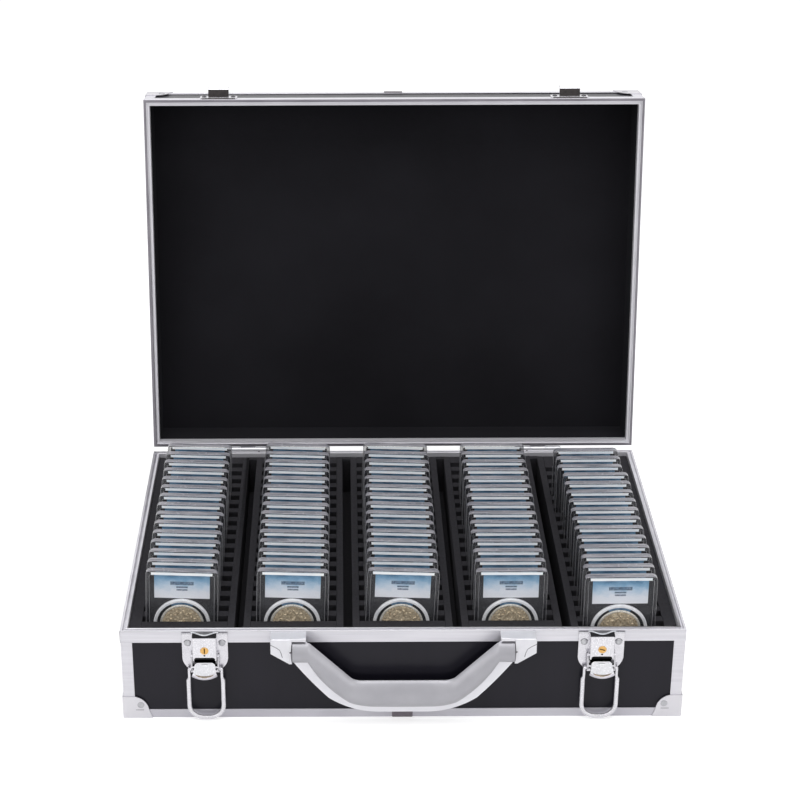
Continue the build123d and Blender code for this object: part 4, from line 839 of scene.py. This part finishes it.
def spread_along(points, fractions):
    """Points at given fractions of the length of a line of points."""
    lengths = [0.0]
    for first, second in zip(points, points[1:]):
        lengths.append(lengths[-1] + (second - first).length)
    placed = []
    for fraction in fractions:
        target = fraction * lengths[-1]
        index = max(i for i in range(len(points) - 1) if lengths[i] <= target + 1e-9)
        share = (target - lengths[index]) / (lengths[index + 1] - lengths[index])
        placed.append(points[index].lerp(points[index + 1], min(share, 1.0)))
    return placed


# Half of the grip's two edges, from the arm's end to the middle, in X and Z
GAP_FILLET_START = Vector((0.0456, 0.0480))
GAP_FILLET_END = Vector((0.0358, 0.0440))
upper_edge = (
    [Vector((ARM_END_X, ARM_TOP_Z)), Vector((0.0807, ARM_TOP_Z))]
    + arc_through(GAP_FILLET_START, (0.0411, 0.0450), GAP_FILLET_END, 10)
    + [GAP_FILLET_END, Vector((0.0, 0.0440))]
)
lower_edge = (
    [Vector((ARM_END_X, ARM_LOW_Z))]
    + arc_through((0.0817, ARM_LOW_Z), (0.0655, 0.0400), (0.0460, 0.0230), 24)
    + arc_through((0.0460, 0.0230), (0.0370, 0.0203), (0.0260, 0.0189), 10)
    + [Vector((0.0260, 0.0189)), Vector((0.0, 0.0187))]
)
STATIONS = 44
ACROSS = 16
CROWN_LEAN = 1.36
fractions = [station / STATIONS for station in range(STATIONS + 1)]
stations = list(zip(spread_along(upper_edge, fractions), spread_along(lower_edge, fractions)))
stations += [(Vector((-a.x, a.y)), Vector((-b.x, b.y))) for a, b in reversed(stations[:-1])]
bm = bmesh.new()
bmesh.ops.create_grid(bm, x_segments=len(stations) - 1, y_segments=ACROSS, size=0.5)
for vert in bm.verts:
    upper, lower = stations[round((vert.co.x + 0.5) * (len(stations) - 1))]
    # Closer together at the edges, where the crown turns fastest, and highest below the middle
    share = 0.5 - 0.5 * cos(pi * (vert.co.y + 0.5))
    place = upper.lerp(lower, share)
    rise = sqrt(max(0.0, 1.0 - (2 * share ** CROWN_LEAN - 1) ** 2))
    vert.co = (place.x, SHELL_BACK_Y - SHELL_DEPTH * rise, place.y)
bmesh.ops.holes_fill(bm, edges=[edge for edge in bm.edges if edge.is_boundary])
bmesh.ops.recalc_face_normals(bm, faces=bm.faces)
finished(
    bm, "handle_grip_shell_moulded", "handle", "grip_plastic", grip_silver,
    replaced=["handle_grip_shell"], weighted=False,
)

BRACKET_TOP_Z = 0.0862
BRACKET_FRONT_Y = -0.1880
BRACKET_ROUND = 0.0016
bm = merged("handle_brackets", "base")
top_edges = [
    edge for edge in sharp_edges(bm)
    if all(vert.co.z > BRACKET_TOP_Z and vert.co.y < BRACKET_FRONT_Y for vert in edge.verts)
]
bevel_edges(bm, top_edges, BRACKET_ROUND, 5, clamp_overlap=True)
soften(bm, 0.0003)
finished(
    bm, "handle_brackets_moulded", "base", "handle_plastic", bracket_silver, replaced=["handle_brackets"],
)

# On each bracket's face: a curved seam, a short groove under the top edge drawn as a line of painted
# shade, and the end of the pin
BRACKET_FACE_Y = -0.19006
GROOVE_Y = BRACKET_FACE_Y + 0.0009
SEAM = ((0.1133, 0.0815), (0.1088, 0.0790), (0.1055, 0.0765), (0.1042, 0.0730), (0.1033, 0.0690))
GROOVE = ((0.0839, 0.0832), (0.0940, 0.0832))
PIN_END = (0.0965, 0.0739)
bm = bmesh.new()
for x_sign in (-1, 1):
    ribbon(bm, [(x_sign * x, BRACKET_FACE_Y, z) for x, z in SEAM], 0.0005, (0, -1, 0), MARK_THICK)
    ribbon(bm, [(x_sign * x, GROOVE_Y, z) for x, z in GROOVE], 0.0006, (0, -1, 0), 0.0006)
    domed_head(bm, (x_sign * PIN_END[0], BRACKET_FACE_Y, PIN_END[1]), (0, -1, 0), 0.0008, 0.0003)
finished(bm, "handle_bracket_marks", "base", "handle_plastic", seam_grey_and_painted_shade, weighted=False)
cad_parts["handle_pivot_pins"].material_slots[0].material = dark_steel

# ---------------------------------------------------------------- coin holders
# Clear welded holders: a flat frame, a raised and bevelled window on each face, and inside it a dark
# insert of painted shade that carries the slip, and a white ring round the coin with the gap inside it
# painted dark as shade. The tops are painted pale as lit, the sides painted dark as shade, and the edges
# and the middle of each window's upper bevel carry painted highlights.
ROW_LEAN = (1.9, 1.9, 1.8, 0.1, -0.3)
LEAN_SPREAD = 0.15
SIDE_PLAY = 0.0004
FOAM_GIVE = 0.00045
HOLDER_WIDTH = 0.0624
HOLDER_HEIGHT = 0.085
FRAME_THICK = 0.0062
CORNER = 0.0045
INSERT_SIZE = (0.0562, 0.0004, 0.0784)
SLIP_MIDDLE = 0.0692
COIN_MIDDLE = 0.032
HAZE = 260.0


def clear_finish(name, light, dark, cover, roughness, patch=160.0, patch_stretch=(0.3, 1.0, 1.0)):
    """Clear plastic that lets part of what is behind it through, with faint streaks."""
    material, shader, coordinates = drifting_colour(name, light, dark, patch, patch_stretch)
    links = material.node_tree.links
    links.new(grain(material, coordinates, HAZE, roughness, roughness + 0.1), shader.inputs["Roughness"])
    links.new(grain(material, coordinates, patch, *cover, patch_stretch), shader.inputs["Alpha"])
    return material


holder_window = clear_finish("holder_window", (0.80, 0.83, 0.87), (0.70, 0.74, 0.80), (0.02, 0.06), 0.05)
# Painted shade on the sides, painted light on the tops, and painted highlights on the bevels and edges
holder_side_painted_shade = clear_finish(
    "holder_side_painted_shade", (0.07, 0.07, 0.08), (0.03, 0.03, 0.035), (0.30, 0.55), 0.10, 700.0, (1.0, 1.0, 0.2),
)
holder_top_painted_light = clear_finish(
    "holder_top_painted_light", (0.42, 0.405, 0.435), (0.11, 0.12, 0.145), (0.92, 0.98), 0.20, 260.0, (0.16, 2.6, 2.6),
)
holder_slope_painted_highlight = clear_finish(
    "holder_slope_painted_highlight", (1.0, 1.0, 1.0), (0.72, 0.80, 0.88), (0.94, 0.98), 0.12, 260.0, (0.16, 2.0, 2.0),
)
holder_line_painted_highlight = clear_finish(
    "holder_line_painted_highlight", (0.60, 0.60, 0.63), (0.22, 0.22, 0.24), (0.35, 0.85), 0.10, 500.0, (1.0, 1.0, 0.3),
)
insert_painted_shade = grained_finish(
    "insert_painted_shade", (0.028, 0.027, 0.031), (0.021, 0.020, 0.024), (0.45, 0.6), specular=0.2, patch=300.0,
)
ring_white = grained_finish(
    "ring_white", (0.98, 0.98, 1.0), (0.80, 0.81, 0.86), (0.15, 0.28), patch=160.0, fine=1500.0,
)
gap_painted_shade = grained_finish(
    "gap_painted_shade", (0.012, 0.012, 0.014), (0.008, 0.008, 0.010), (0.4, 0.6), specular=0.2, patch=300.0,
)
gap_painted_reflection = grained_finish(
    "gap_painted_reflection", (0.190, 0.330, 0.480), (0.060, 0.120, 0.210), (0.3, 0.4), specular=0.3, patch=300.0,
)
WINDOW, SHADED_SIDE, LIT_TOP, HIGHLIGHT_SLOPE, HIGHLIGHT_LINE = range(5)


# In from the frame's outline: how far, how far out, and the finish of the band that this makes
WINDOW_STEPS = ((0.0009, 0.0, SHADED_SIDE), (0.0018, 0.0009, SHADED_SIDE), (0.0004, 0.0, HIGHLIGHT_LINE), (0.0003, -0.0008, SHADED_SIDE))
# Only the middle of each window's upper bevel takes the painted highlight
HIGHLIGHT_HALF = 0.022
HIGHLIGHT_DEPTH = 0.005


def box(size, middle_z):
    """A box over the middle of a holder's bottom."""
    bm = bmesh.new()
    bmesh.ops.create_cube(bm, size=1.0)
    bmesh.ops.scale(bm, vec=size, verts=bm.verts)
    bmesh.ops.translate(bm, vec=(0, 0, middle_z), verts=bm.verts)
    return bm


def edges_through(bm, thick):
    """A box's four edges from front to back."""
    return [edge for edge in bm.edges if abs((edge.verts[0].co - edge.verts[1].co).y) > thick / 2]


def one_holder():
    """A holder about its bottom middle."""
    bm = box((HOLDER_WIDTH, FRAME_THICK, HOLDER_HEIGHT), HOLDER_HEIGHT / 2)
    bevel_edges(bm, edges_through(bm, FRAME_THICK), CORNER, 3)
    chamfer = bevel_edges(bm, sharp_edges(bm, 60.0), 0.0004)["faces"]
    for face in bm.faces:
        face.material_index = LIT_TOP if face.normal.z > 0.6 else SHADED_SIDE
    for face in chamfer:
        if abs(face.normal.z) < 0.4:
            face.material_index = HIGHLIGHT_LINE
    for face in [face for face in bm.faces if abs(face.normal.y) > 0.9 and len(face.verts) > 4]:
        for thickness, depth, finish in WINDOW_STEPS:
            ring = bmesh.ops.inset_individual(bm, faces=[face], thickness=thickness, depth=depth)["faces"]
            for part in ring:
                part.material_index = finish
                middle = part.calc_center_median()
                on_top = middle.z > HOLDER_HEIGHT - HIGHLIGHT_DEPTH and abs(middle.x) < HIGHLIGHT_HALF
                if on_top and (depth > 0 or finish == HIGHLIGHT_LINE):
                    part.material_index = HIGHLIGHT_SLOPE
        face.material_index = WINDOW
    return bm


def one_insert():
    """The dark insert inside a holder, painted shade for the dark seen through the clear plastic."""
    bm = box(INSERT_SIZE, HOLDER_HEIGHT / 2)
    bevel_edges(bm, edges_through(bm, INSERT_SIZE[1]), 0.002, 2)
    return bm


# Half of each round section, as radius and depth in front of the holder's middle
RING_SECTION = ((0.0217, 0.0016), (0.0222, 0.0025), (0.0240, 0.0027), (0.0247, 0.0020))
GAP_SHADE_SECTION = ((0.0190, 0.0008), (0.0217, 0.0014))
REFLECTION_HALF = 0.0105
RING, GAP_SHADE, SLIP_REFLECTION = range(3)


def one_ring():
    """The white ring round the coin's well, and inside it a ring of painted shade for the gap, with a painted
    reflection of the slip under the slip.
    """
    bm = bmesh.new()
    for section, finish in ((RING_SECTION, RING), (GAP_SHADE_SECTION, GAP_SHADE)):
        before = set(bm.faces)
        profile = [(radius, -depth) for radius, depth in section] + list(reversed(section))
        points = [(0.0, depth, COIN_MIDDLE + radius) for radius, depth in profile]
        spun(bm, points, (0, 1, 0), 40, centre=(0, 0, COIN_MIDDLE), closed=True)
        for face in bm.faces:
            if face not in before:
                place = face.calc_center_median()
                near_slip = abs(place.x) < REFLECTION_HALF and place.z > COIN_MIDDLE
                face.material_index = SLIP_REFLECTION if finish == GAP_SHADE and near_slip else finish
    bmesh.ops.remove_doubles(bm, verts=bm.verts, dist=0.00001)
    bmesh.ops.recalc_face_normals(bm, faces=bm.faces)
    return bm


def holder_places(row):
    """Where a row's holders stand, each leaning a little, with its lower corner pressed in the pad."""
    draw = random.Random(row)
    shells = solid_boxes(f"row_{row + 1}_holders", "base")
    whole = [shell for shell in shells if shell[1].z - shell[0].z > 0.9 * HOLDER_HEIGHT]
    places = []
    for low, high in sorted(whole, key=lambda shell: shell[0].y):
        lean = radians(ROW_LEAN[row] + draw.uniform(-LEAN_SPREAD, LEAN_SPREAD))
        rise = (HOLDER_WIDTH / 2 - CORNER) * abs(sin(lean)) - (SLIP_MIDDLE - CORNER) * (1 - cos(lean))
        lift = max(0.0, rise - FOAM_GIVE)
        x = (low.x + high.x) / 2 + draw.uniform(-SIDE_PLAY, SIDE_PLAY)
        places.append(
            Matrix.Translation((x, (low.y + high.y) / 2, low.z + SLIP_MIDDLE + lift))
            @ Matrix.Rotation(lean, 4, "Y")
            @ Matrix.Translation((0, 0, -SLIP_MIDDLE))
        )
    return places


row_places = [holder_places(row) for row in range(len(ROW_LEAN))]


def in_row(number, bm, ending, slot_name, *finishes, stands_for=None, weighted=True):
    """A copy of a single piece in each holder of a row, joined into one piece."""
    single = bpy.data.meshes.new("single")
    bm.to_mesh(single)
    bm.free()
    row = bmesh.new()
    for place in row_places[number - 1]:
        start = len(row.verts)
        row.from_mesh(single)
        row.verts.ensure_lookup_table()
        bmesh.ops.transform(row, matrix=place, verts=row.verts[start:])
    bpy.data.meshes.remove(single)
    body = f"row_{number}"
    replaced = [f"{body}_{stands_for}"] if stands_for else []
    finished(row, f"{body}_{ending}", body, slot_name, *finishes, replaced=replaced, weighted=weighted)


ROW_NUMBERS = range(1, len(ROW_LEAN) + 1)
for number in ROW_NUMBERS:
    in_row(
        number, one_holder(), "holders_clear", "holder_clear", holder_window, holder_side_painted_shade, holder_top_painted_light,
        holder_slope_painted_highlight, holder_line_painted_highlight, stands_for="holders", weighted=False,
    )
    in_row(number, one_insert(), "painted_shade_inserts", "holder_clear", insert_painted_shade)
    in_row(
        number, one_ring(), "rings", "holder_clear", ring_white, gap_painted_shade, gap_painted_reflection, weighted=False,
    )

# ---------------------------------------------------------------- printed slips
# Paper slips above the coins, blue at the top and fading to white, with three short printed lines.
# Each is held in its holder's insert and shows on both faces.
slip_paper = bpy.data.materials.new("slip_paper")
slip_paper.use_nodes = True
nodes, links = slip_paper.node_tree.nodes, slip_paper.node_tree.links
slip_shader = preset(nodes["Principled BSDF"], {"Roughness": 0.6, "Specular IOR Level": 0.3})
slip_uv = nodes.new("ShaderNodeTexCoord").outputs["UV"]
slip_axes = nodes.new("ShaderNodeSeparateXYZ")
links.new(slip_uv, slip_axes.inputs[0])
fade = nodes.new("ShaderNodeValToRGB")
fade.color_ramp.elements[0].position = 0.05
fade.color_ramp.elements[0].color = (0.80, 0.82, 0.88, 1.0)
fade.color_ramp.elements[1].position = 1.0
fade.color_ramp.elements[1].color = (0.045, 0.130, 0.235, 1.0)
for position, colour in (
    (0.30, (0.74, 0.78, 0.86)), (0.55, (0.45, 0.60, 0.75)),
    (0.78, (0.21, 0.40, 0.60)), (0.92, (0.10, 0.25, 0.42)),
):
    fade.color_ramp.elements.new(position).color = (*colour, 1.0)
wash = grain(slip_paper, slip_uv, 2.6, -0.14, 0.14, (1.6, 1.0, 1.0))
links.new(math_node(slip_paper.node_tree, "ADD", slip_axes.outputs["Y"], wash), fade.inputs["Fac"])

line_group, line_in, line_out = node_group("printed_line", {
    "Vector": (0.0, 0.0, 0.0), "Middle": 0.0, "Half Height": 0.0, "Half Width": 0.0,
}, "Mask")
line_axes = line_group.nodes.new("ShaderNodeSeparateXYZ")
line_group.links.new(line_in.outputs["Vector"], line_axes.inputs[0])


def within(place, middle, half):
    """1 where a place is less than half a width from the middle."""
    distance = math_node(line_group, "ABSOLUTE", math_node(line_group, "SUBTRACT", place, middle))
    return math_node(line_group, "LESS_THAN", distance, half)


in_height = within(line_axes.outputs["Y"], line_in.outputs["Middle"], line_in.outputs["Half Height"])
in_width = within(line_axes.outputs["X"], 0.5, line_in.outputs["Half Width"])
marks = preset(line_group.nodes.new("ShaderNodeTexNoise"), {"Scale": 34.0, "Detail": 1.0})
squeezed = line_group.nodes.new("ShaderNodeVectorMath")
squeezed.operation = "MULTIPLY"
squeezed.inputs[1].default_value = (1.0, 0.3, 1.0)
line_group.links.new(line_in.outputs["Vector"], squeezed.inputs[0])
line_group.links.new(squeezed.outputs[0], marks.inputs["Vector"])
inked = math_node(line_group, "MULTIPLY_ADD", marks.outputs["Fac"], 0.8, 0.35)
mask = math_node(line_group, "MULTIPLY", math_node(line_group, "MULTIPLY", in_height, in_width), inked)
line_group.links.new(mask, line_out.inputs["Mask"])

printed = None
for middle, half_height, half_width in ((0.61, 0.070, 0.21), (0.455, 0.034, 0.105), (0.345, 0.034, 0.10)):
    line = nodes.new("ShaderNodeGroup")
    line.node_tree = line_group
    preset(line, {"Middle": middle, "Half Height": half_height, "Half Width": half_width})
    links.new(slip_uv, line.inputs["Vector"])
    mask = line.outputs["Mask"]
    printed = math_node(slip_paper.node_tree, "MAXIMUM", printed, mask) if printed else mask
ink = nodes.new("ShaderNodeMix")
ink.data_type = "RGBA"
preset(ink, {"B": (0.040, 0.075, 0.140, 1.0)})
links.new(fade.outputs["Color"], ink.inputs["A"])
links.new(printed, ink.inputs["Factor"])
links.new(ink.outputs["Result"], slip_shader.inputs["Base Color"])
SLIP_WIDTH = 0.0479
SLIP_HEIGHT = 0.0242
SLIP_THICK = 0.0008


def one_slip():
    """A paper slip about its holder's bottom middle, with its print laid over the front and back."""
    bm = box((SLIP_WIDTH, SLIP_THICK, SLIP_HEIGHT), SLIP_MIDDLE)
    uv = bm.loops.layers.uv.new("print")
    for face in bm.faces:
        for loop in face.loops:
            side = loop.vert.co.x / SLIP_WIDTH
            loop[uv].uv = (
                0.5 + (side if face.normal.y < 0 else -side),
                (loop.vert.co.z - SLIP_MIDDLE) / SLIP_HEIGHT + 0.5,
            )
    bevel_edges(bm, bm.edges[:], 0.0001)
    return bm


for number in ROW_NUMBERS:
    in_row(number, one_slip(), "slips", "label_paper", slip_paper, stands_for="labels")

# ---------------------------------------------------------------- coins
# Struck coins, each in its holder's ring, with a raised edge painted paler as a highlight. Both faces
# carry a ring of beads, a wreath of leaves and a star.
coin_metal = grained_finish(
    "coin_metal", (1.0, 0.86, 0.62), (0.38, 0.27, 0.16), (0.30, 0.50),
    metallic=0.15, patch=430.0, fine=620.0, relief=0.00055,
)
coin_edge_painted_highlight = grained_finish(
    "coin_edge_painted_highlight", (0.95, 0.92, 0.86), (0.70, 0.65, 0.56), (0.22, 0.34), metallic=0.3, patch=300.0,
)
COIN_RADIUS = 0.01905
COIN_HALF = 0.0013
FIELD_Y = COIN_HALF - 0.00045


EDGE_RADIUS = 0.0168
BEADS = 36
BEAD_RADIUS = 0.0156
LEAVES = 22
LEAF_RINGS = (0.0104, 0.0124)
LEAF_TILT = 40.0
WREATH_START = 28.0
WREATH_TURN = 304.0
STAR_RADIUS = 0.0072
STAR_WAIST = 0.42
STAR_RISE = 0.0006


def one_coin():
    """A coin about its holder's bottom middle, both faces alike."""
    bm = bmesh.new()
    profile = [
        (0.0, FIELD_Y), (0.0165, FIELD_Y), (0.0171, COIN_HALF - 0.0001), (0.0184, COIN_HALF),
        (COIN_RADIUS, COIN_HALF - 0.00025),
    ]
    profile += [(across, -up) for across, up in reversed(profile)]
    spun(bm, [(across, up, 0.0) for across, up in profile], (0, 1, 0), 48)
    bmesh.ops.remove_doubles(bm, verts=bm.verts, dist=0.00001)
    bmesh.ops.recalc_face_normals(bm, faces=bm.faces)
    for face in bm.faces:
        middle = face.calc_center_median()
        if sqrt(middle.x ** 2 + middle.z ** 2) > EDGE_RADIUS:
            face.material_index = 1
    for way in (-1, 1):
        upright = Matrix.Rotation(radians(-90.0) * way, 3, "X")
        for bead in range(BEADS):
            angle = 2 * pi * bead / BEADS
            made = bmesh.ops.create_cone(
                bm, cap_ends=True, segments=5, radius1=0.00060, radius2=0.0003, depth=0.0004,
            )["verts"]
            bmesh.ops.rotate(bm, cent=(0, 0, 0), matrix=upright, verts=made)
            place = (BEAD_RADIUS * cos(angle), way * (FIELD_Y + 0.0001), BEAD_RADIUS * sin(angle))
            bmesh.ops.translate(bm, vec=place, verts=made)
        for leaf in range(LEAVES):
            angle = radians(WREATH_START + WREATH_TURN * leaf / (LEAVES - 1))
            outer = leaf % 2
            made = bmesh.ops.create_cone(
                bm, cap_ends=True, segments=5, radius1=0.0018, radius2=0.0006, depth=0.0008,
            )["verts"]
            bmesh.ops.scale(bm, vec=(1.15, 0.55, 1.0), verts=made)
            tilt = radians(LEAF_TILT if outer else -LEAF_TILT)
            turn = Matrix.Rotation(way * (pi / 2 - angle) + tilt, 3, "Z")
            bmesh.ops.rotate(bm, cent=(0, 0, 0), matrix=turn, verts=made)
            bmesh.ops.rotate(bm, cent=(0, 0, 0), matrix=upright, verts=made)
            ring = LEAF_RINGS[outer]
            place = (ring * sin(angle + pi), way * (FIELD_Y + 0.0002), ring * cos(angle + pi))
            bmesh.ops.translate(bm, vec=place, verts=made)
        star = bmesh.ops.create_circle(bm, cap_ends=True, segments=10, radius=STAR_RADIUS)["verts"]
        for index, vert in enumerate(star):
            if index % 2:
                vert.co *= STAR_WAIST
        risen = bmesh.ops.extrude_face_region(bm, geom=[star[0].link_faces[0]])["geom"]
        tips = [item for item in risen if isinstance(item, bmesh.types.BMVert)]
        bmesh.ops.translate(bm, vec=(0, 0, STAR_RISE), verts=tips)
        bmesh.ops.scale(bm, vec=(0.6, 0.6, 1.0), verts=tips)
        whole = list(set(star) | set(tips))
        bmesh.ops.rotate(bm, cent=(0, 0, 0), matrix=Matrix.Rotation(radians(54.0), 3, "Z"), verts=whole)
        bmesh.ops.rotate(bm, cent=(0, 0, 0), matrix=upright, verts=whole)
        bmesh.ops.translate(bm, vec=(0, way * FIELD_Y, 0), verts=whole)
    bmesh.ops.translate(bm, vec=(0, 0, COIN_MIDDLE), verts=bm.verts)
    return bm


for number in ROW_NUMBERS:
    in_row(
        number, one_coin(), "coins_struck", "coin_metal", coin_metal, coin_edge_painted_highlight, stands_for="coins",
        weighted=False,
    )
